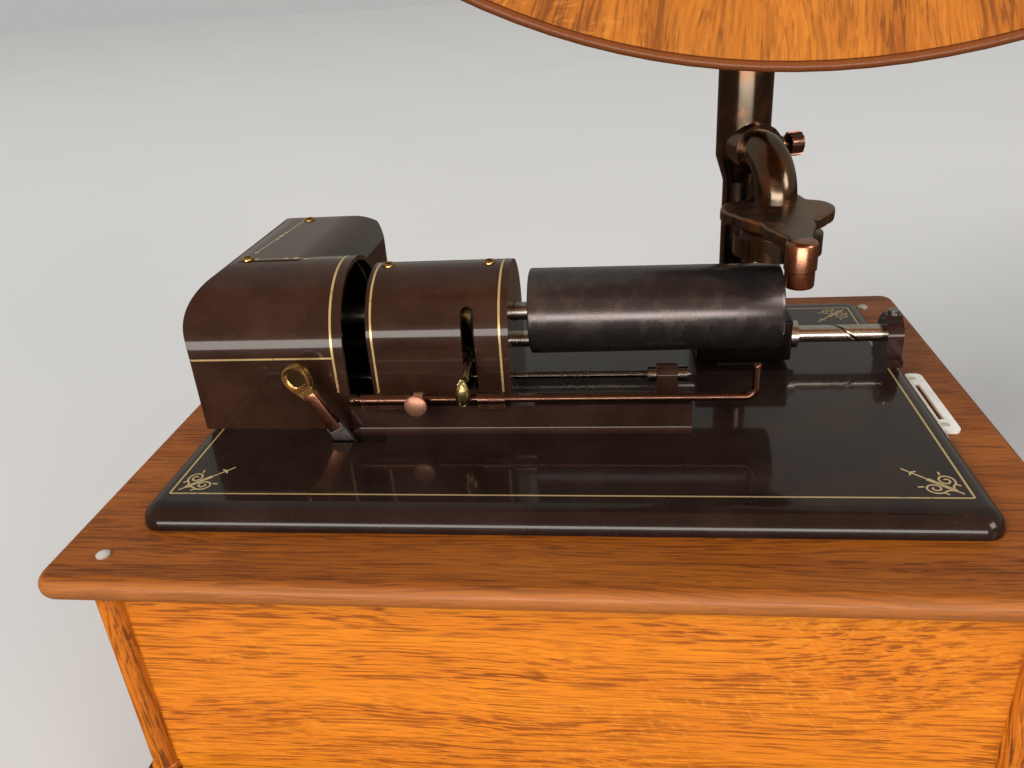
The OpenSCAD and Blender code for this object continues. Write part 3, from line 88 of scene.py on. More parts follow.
class Graph:
    """Adds and joins the nodes of one shader tree."""

    def __init__(self, tree: bpy.types.NodeTree) -> None:
        """Keeps the node tree of a material, a world or a group."""
        self.tree = tree

    def add(self, kind: str, inputs: Values | None = None, **settings: object) -> bpy.types.Node:
        """Adds a node.

        Args:
            kind: the node's type name.
            inputs: links or values for its inputs, by name or number.
            settings: properties of the node, which are set first.

        Returns:
            The new node.
        """
        node = self.tree.nodes.new(kind)
        for name, value in settings.items():
            setattr(node, name, value)
        self.fill(node.inputs, inputs or {})
        return node

    def put(self, socket: Socket, value: object) -> None:
        """Links a socket to an input or writes a plain value into it.

        Args:
            socket: the input.
            value: an output socket, a number, a colour or a vector.
        """
        if isinstance(value, Socket):
            self.tree.links.new(value, socket)
        elif isinstance(value, tuple) and len(value) == 3 and socket.type == "RGBA":
            socket.default_value = (*value, 1.0)
        else:
            socket.default_value = value

    def fill(self, sockets: dict[str, Socket], values: Values) -> None:
        """Puts values into sockets of the same names."""
        for name, value in values.items():
            self.put(sockets[name], value)

    def group(self, tree: bpy.types.NodeTree, inputs: Values) -> dict[str, Socket]:
        """Outputs of a node group with the given inputs."""
        return self.add("ShaderNodeGroup", inputs, node_tree=tree).outputs

    def math(self, operation: str, a: object, b: object = 0.0, clamp: bool = False) -> Socket:
        """Result of an operation on one or two values, held between 0 and 1 if clamped."""
        return self.add("ShaderNodeMath", {0: a, 1: b}, operation=operation, use_clamp=clamp).outputs[0]

    def plus(self, a: object, b: object, clamp: bool = False) -> Socket:
        """Sum of two values."""
        return self.math("ADD", a, b, clamp)

    def minus(self, a: object, b: object) -> Socket:
        """Difference of two values."""
        return self.math("SUBTRACT", a, b)

    def times(self, a: object, b: object, clamp: bool = False) -> Socket:
        """Product of two values."""
        return self.math("MULTIPLY", a, b, clamp)

    def length(self, a: object, b: object) -> Socket:
        """Length of a vector with two parts."""
        return self.math("SQRT", self.plus(self.times(a, a), self.times(b, b)))

    def stretch(self, vector: Socket, factors: Point) -> Socket:
        """Multiplies a vector axis by axis."""
        return self.add("ShaderNodeVectorMath", {0: vector, 1: factors}, operation="MULTIPLY").outputs[0]

    def noise(self, vector: Socket, scale: float, detail: float = 2.0, rough: float = 0.5) -> Socket:
        """Noise from 0 to 1, with its features for each metre, its finer layers and their weight."""
        inputs = {"Vector": vector, "Scale": scale, "Detail": detail, "Roughness": rough}
        return self.add("ShaderNodeTexNoise", inputs).outputs["Fac"]

    def streaks(self, vector: Socket, along: float, across: float, detail: float = 2.0,
                rough: float = 0.5) -> Socket:
        """Noise drawn out along X, with its features for each metre along and across."""
        return self.noise(self.stretch(vector, (along, across, across)), 1.0, detail, rough)

    def band(self, value: object, low: float, high: float, to_low: float = 0.0,
             to_high: float = 1.0) -> Socket:
        """Maps a value smoothly from the range low to high onto the range to_low to to_high."""
        inputs = {"Value": value, "From Min": low, "From Max": high, "To Min": to_low, "To Max": to_high}
        return self.add("ShaderNodeMapRange", inputs, interpolation_type="SMOOTHSTEP").outputs["Result"]

    def line(self, away: Socket, width: float) -> Socket:
        """Mask of a line of a given width from the distance to its middle."""
        half = width * 0.5
        return self.band(self.math("ABSOLUTE", away), half + LINE_SOFT, half - LINE_SOFT)

    def mix(self, share: object, a: object, b: object) -> Socket:
        """Mixes two colours by the share of the second."""
        inputs = {"Factor": share, "A": a, "B": b}
        return self.add("ShaderNodeMix", inputs, data_type="RGBA", clamp_factor=True).outputs["Result"]

    def split(self, vector: Socket) -> Axes:
        """Splits a vector into its x, y and z."""
        return tuple(self.add("ShaderNodeSeparateXYZ", {0: vector}).outputs)

    def join(self, x: object, y: object, z: object) -> Socket:
        """Joins three values into a vector."""
        return self.add("ShaderNodeCombineXYZ", {0: x, 1: y, 2: z}).outputs[0]

    def bump(self, height: Socket, strength: float, distance: float) -> Socket:
        """Normal bent by a relief of the given strength and depth in metres."""
        inputs = {"Strength": strength, "Distance": distance, "Height": height}
        return self.add("ShaderNodeBump", inputs).outputs["Normal"]

    def coordinates(self, kind: str) -> Socket:
        """Texture coordinates of one kind."""
        return self.add("ShaderNodeTexCoord").outputs[kind]

    def ray(self, kind: str) -> Socket:
        """1 for light rays of one kind, 0 for the others."""
        return self.add("ShaderNodeLightPath").outputs[kind]

    def place(self, turn: Point = ORIGIN, shift: Point = ORIGIN) -> Socket:
        """Object coordinates in metres, turned and then shifted."""
        inputs = {"Vector": self.coordinates("Object"), "Rotation": turn, "Location": shift}
        return self.add("ShaderNodeMapping", inputs).outputs["Vector"]


class Groups:
    """Node groups that several finishes share, each built once."""

    @staticmethod
    def start(name: str, inputs: tuple[str, ...], outputs: tuple[str, ...]) -> tuple[Graph, dict, dict]:
        """Starts a group.

        Args:
            name: the group's name.
            inputs: names of its inputs, where Vector is a vector and the rest are numbers.
            outputs: names of its outputs, which are numbers.

        Returns:
            The graph, its input sockets and its output sockets, both by name.
        """
        tree = bpy.data.node_groups.new(name, "ShaderNodeTree")
        for way, labels in (("INPUT", inputs), ("OUTPUT", outputs)):
            for label in labels:
                kind = "NodeSocketVector" if label == "Vector" else "NodeSocketFloat"
                tree.interface.new_socket(name=label, in_out=way, socket_type=kind)
        graph = Graph(tree)
        into = graph.add("NodeGroupInput")
        out = graph.add("NodeGroupOutput")
        return graph, dict(into.outputs.items()), dict(out.inputs.items())

    @staticmethod
    @functools.cache
    def oak() -> bpy.types.NodeTree:
        """Oak figure with fibres along X: tone, pores, rays and relief.

        Returns:
            The group.
        """
        g, into, out = Groups.start("oak_figure", ("Vector", "Rays"), ("Tone", "Pores", "Rays", "Relief"))
        v = into["Vector"]
        x, y, z = g.split(v)
        drift = g.times(g.minus(g.streaks(v, 4.0, 11.0), 0.5), 0.03)
        bent = g.join(x, g.plus(y, drift), g.plus(z, drift))
        rings = g.streaks(bent, 3.0, 70.0, 4.0, 0.6)
        fibre = g.streaks(bent, 24.0, 900.0, 2.0, 0.6)
        dash = g.streaks(bent, 32.0, 820.0, 2.0, 0.55)
        hair = g.streaks(bent, 50.0, 1500.0, 1.0)
        lean = g.times(x, 0.55)
        across = g.join(x, g.plus(y, lean), g.plus(z, lean))
        wave = g.streaks(across, 95.0, 330.0, 2.0, 0.55)
        where = g.streaks(v, 8.0, 16.0)
        rays = g.times(g.band(wave, 0.52, 0.72), g.band(where, 0.40, 0.70))
        rays = g.times(rays, into["Rays"], clamp=True)
        belt = g.band(rings, 0.36, 0.64, 1.0, 0.30)
        pores = g.times(g.band(dash, 0.485, 0.60), belt)
        pores = g.plus(pores, g.times(g.band(hair, 0.55, 0.70), 0.45), clamp=True)
        pores = g.times(pores, g.minus(1.0, g.times(rays, 0.75)))
        tone = g.plus(g.band(rings, 0.30, 0.70, 0.05, 0.75), g.band(fibre, 0.3, 0.7, -0.10, 0.30), clamp=True)
        relief = g.minus(g.times(fibre, 0.35), pores)
        g.fill(out, {"Tone": tone, "Pores": pores, "Rays": rays, "Relief": relief})
        return g.tree

    @staticmethod
    @functools.cache
    def wear() -> bpy.types.NodeTree:
        """Rubbed edges, mottling and fine scratches of old metal.

        Returns:
            The group.
        """
        g, into, out = Groups.start("old_metal", ("Vector", "Edge", "Mottle"),
                                    ("Edges", "Patches", "Scratches"))
        v = into["Vector"]
        soft = g.add("ShaderNodeBevel", {"Radius": into["Edge"]}, samples=8).outputs["Normal"]
        sharp = g.add("ShaderNodeNewGeometry").outputs["Normal"]
        same = g.add("ShaderNodeVectorMath", {0: soft, 1: sharp}, operation="DOT_PRODUCT")
        bent = g.minus(1.0, same.outputs["Value"])
        rough = g.noise(v, 700.0, 3.0, 0.6)
        edges = g.band(g.times(bent, g.band(rough, 0.3, 0.6, 0.4, 1.3)), 0.06, 0.22)
        patches = g.noise(g.stretch(v, (1.0, 1.0, 0.7)), 110.0, 5.0, 0.65)
        patches = g.times(g.band(patches, 0.42, 0.66), into["Mottle"], clamp=True)
        scratches = g.band(g.streaks(v, 40.0, 2600.0), 0.5, 0.75)
        g.fill(out, {"Edges": edges, "Patches": patches, "Scratches": scratches})
        return g.tree

    @staticmethod
    @functools.cache
    def dust() -> bpy.types.NodeTree:
        """Fine dust and dulled patches on a glossy coat.

        Returns:
            The group.
        """
        g, into, out = Groups.start("dust", ("Vector",), ("Specks", "Dull", "Ripple"))
        v = into["Vector"]
        specks = g.band(g.noise(v, 1300.0, 1.0), 0.74, 0.82)
        g.fill(out, {"Specks": specks, "Dull": g.noise(v, 35.0, 4.0, 0.6), "Ripple": g.noise(v, 260.0)})
        return g.tree


@dataclass(frozen=True)
class Finish:
    """A finish and the record slot that it belongs to, if any."""

    name: str
    slot: str = ""

    def material(self) -> bpy.types.Material:
        """The finish as a material, built at its first use.

        Returns:
            The material.
        """
        label = f"{self.name}_finish"
        made = bpy.data.materials.get(label)
        if made is None:
            made = bpy.data.materials.new(label)
            made.use_nodes = True
            graph = Graph(made.node_tree)
            shader = next(n for n in made.node_tree.nodes if n.type == "BSDF_PRINCIPLED")
            graph.fill(shader.inputs, self.paint(graph))
        return made

    def paint(self, g: Graph) -> Values:
        """Values of the shader's inputs by name, worked out in the material's graph."""
        raise NotImplementedError

    def apply(self, piece: Piece) -> None:
        """Puts the finish on a CAD node or a new piece."""
        piece.data.materials.clear()
        piece.data.materials.append(self.material())


@dataclass(frozen=True)
class Oak(Finish):
    """Varnished oak."""

    grain: Grain = Grain.ALONG_X
    pale: Colour = (0.82, 0.260, 0.014)
    deep: Colour = (0.62, 0.160, 0.007)
    pore: Colour = (0.24, 0.054, 0.004)
    light: Colour = (0.90, 0.37, 0.050)
    rays: float = 0.55
    coat: float = 0.12
    offset: float = 0.0

    def figure(self, g: Graph) -> Socket:
        """Coordinates of the figure, with the fibres along X."""
        return g.place(self.grain.value, (self.offset, self.offset, 0.0))

    def tint(self, g: Graph, colour: Socket) -> Socket:
        """Darkens the figure's colour in soft clouds."""
        cloud = g.noise(g.place(), 9.0, 3.0)
        return g.mix(g.band(cloud, 0.40, 0.75, 0.0, 0.30), colour, self.deep)

    def paint(self, g: Graph) -> Values:
        """Lays the figure under varnish.

        Args:
            g: the material's graph.

        Returns:
            Values of the shader's inputs by name.
        """
        oak = g.group(Groups.oak(), {"Vector": self.figure(g), "Rays": self.rays})
        colour = g.mix(oak["Tone"], self.deep, self.pale)
        colour = g.mix(g.times(oak["Rays"], 0.8), colour, self.light)
        colour = g.mix(g.times(oak["Pores"], 0.95), colour, self.pore)
        return {
            "Base Color": self.tint(g, colour),
            "Roughness": g.band(oak["Tone"], 0.0, 1.0, 0.46, 0.36),
            "Normal": g.bump(oak["Relief"], 0.30, 0.00025),
            "Coat Weight": self.coat,
            "Coat Roughness": 0.18,
            "Specular IOR Level": 0.22,
        }


@dataclass(frozen=True)
class NosedOak(Oak):
    """Oak board with a painted highlight on its round nose and on its other faces that look sideways."""

    nose_highlight: Colour = (0.62, 0.225, 0.060)

    def tint(self, g: Graph, colour: Socket) -> Socket:
        """Paints a highlight onto the faces that look sideways."""
        up = g.math("ABSOLUTE", g.split(g.coordinates("Normal"))[2])
        return g.mix(g.band(up, 0.97, 0.55, 0.0, 0.32), colour, self.nose_highlight)


@dataclass(frozen=True)
class HornOak(Oak):
    """Oak veneer laid in staves round the axis of the horn."""

    axis_x: float = 0.1025
    axis_z: float = 0.653
    staves: int = 16
    rim: float = 0.2611
    rim_soft: float = 0.0003
    rim_tint: Colour = (0.165, 0.042, 0.010)

    def figure(self, g: Graph) -> Socket:
        """Coordinates that run along and across each stave.

        Args:
            g: the material's graph.

        Returns:
            The coordinates.
        """
        out, turn, y = self.polar(g)
        stave = g.math("FLOOR", g.times(turn, self.staves / math.tau))
        along = g.minus(g.plus(out, g.times(stave, 0.37)), y)
        return g.join(along, g.times(turn, 0.19), g.times(stave, 0.21))

    def polar(self, g: Graph) -> Axes:
        """Distance from the horn's axis, angle about it and place along it."""
        x, y, z = g.split(g.place(shift=(-self.axis_x, 0.0, -self.axis_z)))
        return g.length(x, z), g.math("ARCTAN2", z, x), y

    def tint(self, g: Graph, colour: Socket) -> Socket:
        """Darkens the rim bead."""
        share = g.band(self.polar(g)[0], self.rim - self.rim_soft, self.rim + self.rim_soft, 0.0, 0.93)
        return g.mix(share, colour, self.rim_tint)


@dataclass(frozen=True)
class Stripe:
    """A gold line between low and high on each axis, where the limit is nearer than FAR."""

    low: Point
    high: Point
    soft: float = 0.00012

    def mask(self, g: Graph, axes: Axes) -> Socket:
        """Mask of the line.

        Args:
            g: the material's graph.
            axes: object coordinates.

        Returns:
            1 on the line, 0 elsewhere.
        """
        total: object = 1.0
        for value, low, high in zip(axes, self.low, self.high):
            if low > -FAR:
                total = g.times(total, g.band(value, low - self.soft, low + self.soft))
            if high < FAR:
                total = g.times(total, g.band(value, high + self.soft, high - self.soft))
        return total


@dataclass(frozen=True)
class Slant:
    """A gold line across the top of a cover from one point of the plan to another."""

    start: Pair
    end: Pair
    width: float
    level: float

    def mask(self, g: Graph, axes: Axes) -> Socket:
        """Mask of the line.

        Args:
            g: the material's graph.
            axes: object coordinates.

        Returns:
            1 on the line, 0 elsewhere.
        """
        slope = (self.end[0] - self.start[0]) / (self.end[1] - self.start[1])
        run = g.times(g.minus(axes[1], self.start[1]), slope)
        away = g.minus(g.minus(axes[0], self.start[0]), run)
        part = Stripe((-FAR, self.start[1], self.level), (FAR, self.end[1], FAR)).mask(g, axes)
        return g.times(g.line(away, self.width), part)


@dataclass(frozen=True)
class Leaf:
    """A gold lozenge on the top of a cover."""

    centre: Pair
    half: Pair
    level: float

    def mask(self, g: Graph, axes: Axes) -> Socket:
        """Mask of the lozenge.

        Args:
            g: the material's graph.
            axes: object coordinates.

        Returns:
            1 on the lozenge, 0 elsewhere.
        """
        parts = [g.math("ABSOLUTE", g.math("DIVIDE", g.minus(axis, middle), half))
                 for axis, middle, half in zip(axes, self.centre, self.half)]
        inside = g.band(g.plus(*parts), 1.15, 0.85)
        return g.times(inside, g.band(axes[2], self.level - 0.0005, self.level + 0.0005))


@dataclass(frozen=True)
class Frame:
    """A gold line that runs round a plate, inside its edge."""

    half: Pair
    corner: float
    width: float
    level: float

    def mask(self, g: Graph, axes: Axes) -> Socket:
        """Mask of the line.

        Args:
            g: the material's graph.
            axes: object coordinates.

        Returns:
            1 on the line, 0 elsewhere.
        """
        outside = [g.minus(g.math("ABSOLUTE", axis), half - self.corner)
                   for axis, half in zip(axes, self.half)]
        corner = g.length(*(g.math("MAXIMUM", q, 0.0) for q in outside))
        flat = g.math("MINIMUM", g.math("MAXIMUM", *outside), 0.0)
        away = g.minus(g.plus(corner, flat), self.corner)
        return g.times(g.line(away, self.width), g.band(axes[2], self.level - 0.0008, self.level - 0.0004))


@dataclass(frozen=True)
class Enamel(Finish):
    """Dark gloss enamel on iron, with gold lines."""

    tint: Colour = (0.024, 0.0090, 0.0050)
    faded: Colour = (0.037, 0.0145, 0.0082)
    speck: Colour = (0.30, 0.26, 0.22)
    gold: Colour = (0.60, 0.43, 0.19)
    coat: float = 0.85
    lines: tuple[Stripe | Slant | Leaf | Frame, ...] = ()

    def paint(self, g: Graph) -> Values:
        """Lays dust and worn gold lines on the enamel.

        Args:
            g: the material's graph.

        Returns:
            Values of the shader's inputs by name.
        """
        v = g.place()
        dust = g.group(Groups.dust(), {"Vector": v})
        colour = g.mix(g.band(dust["Dull"], 0.35, 0.68), self.tint, self.faded)
        colour = g.mix(g.times(dust["Specks"], 0.25), colour, self.speck)
        values = {
            "Roughness": g.band(dust["Dull"], 0.3, 0.75, 0.24, 0.38),
            "Normal": g.bump(dust["Ripple"], 0.10, 0.0004),
            "Coat Weight": self.coat,
            "Coat Roughness": 0.06,
            "Coat IOR": 1.4,
            "Specular IOR Level": 0.10,
        }
        if self.lines:
            axes = g.split(v)
            gilt: object = 0.0
            for line in self.lines:
                gilt = g.math("MAXIMUM", gilt, line.mask(g, axes))
            gilt = g.times(gilt, g.band(g.noise(v, 420.0, 3.0, 0.6), 0.28, 0.42, 0.35, 1.0))
            colour = g.mix(gilt, colour, self.gold)
            values["Metallic"] = g.times(gilt, 0.5)
        return values | {"Base Color": colour}


@dataclass(frozen=True)
class Metal(Finish):
    """Plated or bare metal with mottling, rubbed edges and fine scratches."""

    tint: Colour = (0.6, 0.58, 0.54)
    patch: Colour = (0.4, 0.38, 0.35)
    edge: Colour = (0.75, 0.72, 0.68)
    shine: float = 0.22
    spread: float = 0.12
    mottle: float = 0.7
    edge_width: float = 0.0012
    metallic: float = 1.0
    groove_painted_shade: float = 0.08

    def groove(self, g: Graph) -> Socket | None:
        """Mask of a cut groove, which plain metal lacks."""
        return None

    def paint(self, g: Graph) -> Values:
        """Wears the metal and cuts its groove, which is painted dark as painted shade.

        Args:
            g: the material's graph.

        Returns:
            Values of the shader's inputs by name.
        """
        old = g.group(Groups.wear(), {"Vector": g.place(), "Edge": self.edge_width, "Mottle": self.mottle})
        colour = g.mix(old["Patches"], self.tint, self.patch)
        colour = g.mix(old["Edges"], colour, self.edge)
        dull = g.band(old["Patches"], 0.0, 1.0, self.shine, self.shine + self.spread)
        values = {"Roughness": g.plus(dull, g.times(old["Scratches"], 0.05)), "Metallic": self.metallic}
        groove = self.groove(g)
        if groove is not None:
            # The groove is darkened towards black: painted shade in the cut.
            colour = g.mix(g.times(groove, 0.9), colour, tuple(c * self.groove_painted_shade for c in self.tint))
            values["Normal"] = g.bump(g.times(groove, -1.0), 0.8, 0.0005)
        return values | {"Base Color": colour}


@dataclass(frozen=True)
class Threaded(Metal):
    """A rod along X with a cut thread or a winding groove."""

    axis_y: float = 0.0
    axis_z: float = 0.0
    pitch: float = 0.001
    share: float = 0.5
    share_soft: float = 0.03
    span: Pair = (-FAR, FAR)

    def groove(self, g: Graph) -> Socket:
        """Mask of the thread or the groove.

        Args:
            g: the material's graph.

        Returns:
            1 in the cut, 0 elsewhere.
        """
        x, y, z = g.split(g.place(shift=(0.0, -self.axis_y, -self.axis_z)))
        turn = g.math("DIVIDE", g.math("ARCTAN2", z, y), math.tau)
        wave = g.math("PINGPONG", g.plus(g.math("DIVIDE", x, self.pitch), turn), 0.5)
        half = self.share * 0.5
        cut = g.band(wave, half + self.share_soft, max(half - self.share_soft, 0.0))
        part = Stripe((self.span[0], -FAR, -FAR), (self.span[1], FAR, FAR)).mask(g, (x, y, z))
        return g.times(cut, part)


@dataclass(frozen=True)
class Hide(Finish):
    """Oiled leather."""

    tint: Colour = (0.030, 0.016, 0.009)
    paler: float = 1.7

    def paint(self, g: Graph) -> Values:
        """Grains the leather.

        Args:
            g: the material's graph.

        Returns:
            Values of the shader's inputs by name.
        """
        grain = g.noise(g.place(), 700.0, 4.0, 0.6)
        pale = tuple(c * self.paler for c in self.tint)
        return {
            "Base Color": g.mix(g.band(grain, 0.3, 0.7), self.tint, pale),
            "Roughness": g.band(grain, 0.3, 0.7, 0.5, 0.7),
            "Normal": g.bump(grain, 0.3, 0.0003),
        }


@dataclass(frozen=True)
class FloorPaint(Finish):
    """Matt pale floor that shows dark in reflections."""

    shade: Colour = (0.60, 0.59, 0.57)
    pale: Colour = (0.64, 0.63, 0.61)
    mirrored: Colour = (0.10, 0.062, 0.042)

    def paint(self, g: Graph) -> Values:
        """Paints the floor for direct and for mirrored sight.

        Args:
            g: the material's graph.

        Returns:
            Values of the shader's inputs by name.
        """
        seen = g.mix(g.noise(g.place(), 2.0, 3.0), self.shade, self.pale)
        colour = g.mix(g.ray("Is Glossy Ray"), seen, self.mirrored)
        return {"Base Color": colour, "Roughness": 0.8, "Specular IOR Level": 0.0}


class Bench:
    """Modelling steps that the pieces share."""

    @staticmethod
    def clear() -> None:
        """Leaves edit mode and deselects everything."""
        if bpy.context.object and bpy.context.object.mode != "OBJECT":
            bpy.ops.object.mode_set(mode="OBJECT")
        bpy.ops.object.select_all(action="DESELECT")

    @staticmethod
    def select(*pieces: Piece) -> None:
        """Selects pieces and makes the first one active.

        Args:
            pieces: the pieces.
        """
        Bench.clear()
        for piece in pieces:
            piece.select_set(True)
        bpy.context.view_layer.objects.active = pieces[0]

    @staticmethod
    def new(name: str, operator: Callable, **settings: object) -> Piece:
        """Adds a primitive and puts its place into its mesh.

        Args:
            name: its name, also for its mesh.
            operator: the operator that adds it.
            settings: the operator's settings.

        Returns:
            The object.
        """
        Bench.clear()
        operator(**settings)
        piece = bpy.context.object
        piece.name = name
        piece.data.name = name
        bpy.ops.object.transform_apply(location=True, rotation=True, scale=True)
        return piece

    @staticmethod
    def open(piece: Piece, kind: str, test: Callable[[object], bool]) -> None:
        """Opens a piece for editing with the elements selected that pass a test.

        Args:
            piece: the piece.
            kind: FACE or VERT.
            test: takes a face or a point.
        """
        Bench.select(piece)
        bpy.ops.object.mode_set(mode="EDIT")
        bpy.ops.mesh.select_mode(type=kind)
        bpy.ops.mesh.select_all(action="DESELECT")
        bpy.ops.object.mode_set(mode="OBJECT")
        for element in piece.data.polygons if kind == "FACE" else piece.data.vertices:
            element.select = test(element)
        bpy.ops.object.mode_set(mode="EDIT")

    @staticmethod
    def pick(piece: Piece, test: Callable[[Vector, Vector], bool]) -> None:
        """Opens a piece with the faces selected whose centre and normal pass a test."""
        Bench.open(piece, "FACE", lambda face: test(face.center, face.normal))

    @staticmethod
    def points(piece: Piece, test: Callable[[Vector], bool]) -> None:
        """Opens a piece with the points selected whose place passes a test."""
        Bench.open(piece, "VERT", lambda point: test(point.co))

    @staticmethod
    def step(width: float, move: Point) -> None:
        """Insets the selected faces by a width and moves them."""
        bpy.ops.mesh.inset(thickness=width, depth=0.0)
        bpy.ops.transform.translate(value=move)

    @staticmethod
    def extrude(move: Point) -> None:
        """Draws out what is selected."""
        bpy.ops.mesh.extrude_region_move(TRANSFORM_OT_translate={"value": move})

    @staticmethod
    def modify(piece: Piece, kind: str, **settings: object) -> None:
        """Adds a modifier and applies it.

        Args:
            piece: the piece.
            kind: the modifier's type.
            settings: its properties.
        """
        Bench.select(piece)
        step = piece.modifiers.new(kind.lower(), kind)
        for name, value in settings.items():
            setattr(step, name, value)
        bpy.ops.object.modifier_apply(modifier=step.name)

    @staticmethod
    def join(*pieces: Piece) -> Piece:
        """Joins pieces into the first one.

        Args:
            pieces: the pieces.

        Returns:
            The joined piece.
        """
        Bench.select(*pieces)
        bpy.ops.object.join()
        return pieces[0]

    @staticmethod
    def put(piece: Piece, place: Matrix) -> None:
        """Moves a piece that was modelled at the origin to its place.

        Args:
            piece: the piece.
            place: the place.
        """
        Bench.select(piece)
        piece.matrix_world = place
        bpy.ops.object.transform_apply(location=True, rotation=True, scale=True)

    @staticmethod
    def settle(piece: Piece, angle: float = 35.0) -> None:
        """Merges doubles, turns faces outward and smooths a piece.

        Args:
            piece: the piece.
            angle: sharpest bend that is smoothed, in degrees.
        """
        Bench.select(piece)
        bpy.ops.object.mode_set(mode="EDIT")
        bpy.ops.mesh.select_all(action="SELECT")
        bpy.ops.mesh.remove_doubles(threshold=0.000005)
        bpy.ops.mesh.normals_make_consistent(inside=False)
        bpy.ops.object.mode_set(mode="OBJECT")
        bpy.ops.object.shade_smooth_by_angle(angle=math.radians(angle))

    @staticmethod
    def dot(name: str, at: Point) -> Piece:
        """Starts a piece as a single point, open for editing.

        Args:
            name: the piece's name.
            at: where the point lies.

        Returns:
            The piece.
        """
        piece = Bench.new(name, bpy.ops.mesh.primitive_plane_add, size=MM)
        bpy.ops.object.mode_set(mode="EDIT")
        bpy.ops.mesh.select_mode(type="VERT")
        bpy.ops.mesh.select_all(action="SELECT")
        bpy.ops.mesh.merge(type="CENTER")
        bpy.ops.transform.translate(value=at)
        return piece

    @staticmethod
    def lathe(name: str, profile: Outline, place: Matrix, steps: int = 48) -> Piece:
        """Draws a profile point by point and spins it about Z into a round piece.

        Args:
            name: the piece's name.
            profile: points of radius and height in metres, from one end of the axis to the other.
            place: where the piece goes, with its axis along the place's Z.
            steps: faces round the axis.

        Returns:
            The piece.
        """
        piece = Bench.dot(name, (profile[0][0], 0.0, profile[0][1]))
        for (r0, h0), (r1, h1) in zip(profile, profile[1:]):
            Bench.extrude((r1 - r0, 0.0, h1 - h0))
        bpy.ops.mesh.select_all(action="SELECT")
        bpy.ops.mesh.spin(steps=steps, angle=math.tau, center=ORIGIN, axis=(0.0, 0.0, 1.0))
        Bench.put(piece, place)
        Bench.settle(piece)
        return piece

    @staticmethod
    def strip(name: str, rows: Outline, thickness: float) -> Piece:
        """Draws an upright strip row by row and gives it its thickness.

        Args:
            name: the piece's name.
            rows: half width and height of each row in metres, from the top down.
            thickness: how thick it is, equally before and behind the plane of X and Z.

        Returns:
            The piece, open for editing.
        """
        piece = Bench.dot(name, (-rows[0][0], thickness / 2, rows[0][1]))
        Bench.extrude((2 * rows[0][0], 0.0, 0.0))
        bpy.ops.mesh.select_all(action="SELECT")
        for (w0, h0), (w1, h1) in zip(rows, rows[1:]):
            Bench.extrude((0.0, 0.0, h1 - h0))
            bpy.ops.transform.resize(value=(w1 / w0, 1.0, 1.0), center_override=ORIGIN)
        Bench.pick(piece, lambda c, n: True)
        Bench.extrude((0.0, -thickness, 0.0))
        bpy.ops.mesh.select_all(action="SELECT")
        bpy.ops.mesh.normals_make_consistent(inside=False)
        return piece

    @staticmethod
    def copy(piece: Piece, name: str, place: Matrix) -> Piece:
        """Copies a piece with a mesh of its own.

        Args:
            piece: the piece.
            name: the copy's name.
            place: how the copy is moved.

        Returns:
            The copy.
        """
        Bench.select(piece)
        bpy.ops.object.duplicate(linked=False)
        made = bpy.context.object
        made.name = name
        made.data.name = name
        Bench.put(made, place)
        return made

    @staticmethod
    def finish(piece: Piece, finish: Finish, body: Body, *nodes: str) -> None:
        """Dresses a piece, gives it to a body and reports it.

        Args:
            piece: the piece.
            finish: its finish.
            body: the body it rides on.
            nodes: the CAD nodes it stands for.
        """
        finish.apply(piece)
        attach(piece, body.value)
        if nodes:
            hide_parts(*nodes)
        LOG.info("%s: %d faces", piece.name, len(piece.data.polygons))


BED = 0.206
GOLDEN_X = Oak("golden_oak_x", "golden_oak")
GOLDEN_TOP = NosedOak("golden_oak_top", "golden_oak", pale=(0.35, 0.098, 0.010), deep=(0.205, 0.050, 0.004),
                      pore=(0.118, 0.030, 0.004), light=(0.43, 0.14, 0.018), rays=0.4, offset=0.37)
GOLDEN_Y = Oak("golden_oak_y", "golden_oak", grain=Grain.ALONG_Y)
GOLDEN_Z = Oak("golden_oak_z", "golden_oak", grain=Grain.ALONG_Z, pale=(0.74, 0.205, 0.010),
               deep=(0.44, 0.105, 0.005), pore=(0.12, 0.032, 0.004), light=(0.70, 0.25, 0.028), offset=0.21)
DARK_OAK = Oak("dark_oak", "dark_oak", pale=(0.085, 0.036, 0.016), deep=(0.035, 0.014, 0.007),
               pore=(0.012, 0.005, 0.003), light=(0.10, 0.045, 0.02), rays=0.3)
PLAIN_BOARD = Oak("plain_board", "plain_board", pale=(0.46, 0.30, 0.16), deep=(0.34, 0.20, 0.10),
                  pore=(0.2, 0.11, 0.05), light=(0.5, 0.33, 0.18), rays=0.0, coat=0.0)
HORN_OAK = HornOak("horn_oak", "horn_oak", pale=(0.54, 0.180, 0.022), deep=(0.27, 0.072, 0.009),
                   pore=(0.19, 0.056, 0.011), light=(0.62, 0.24, 0.040), rays=0.9, coat=0.3)
HANDLE_WOOD = Oak("handle_wood", "handle_wood", pale=(0.11, 0.045, 0.022), deep=(0.05, 0.02, 0.011),
                  pore=(0.02, 0.008, 0.005), light=(0.13, 0.055, 0.027), rays=0.0)
BED_ENAMEL = Enamel("bed_enamel", "maroon_enamel", tint=(0.011, 0.0055, 0.0042), faded=(0.018, 0.009, 0.0066),
                    lines=(Frame((0.1857, 0.1135), 0.001, 0.0010, BED),))
PLAIN_ENAMEL = Enamel("plain_enamel", "maroon_enamel", tint=(0.020, 0.0080, 0.0056),
                      faded=(0.032, 0.0135, 0.0095))
DARK_ENAMEL = Enamel("dark_enamel", "maroon_enamel", tint=(0.0045, 0.0026, 0.0020),
                     faded=(0.007, 0.004, 0.003), coat=0.3)
CREST = 0.284
COVER_LINE = -0.00545
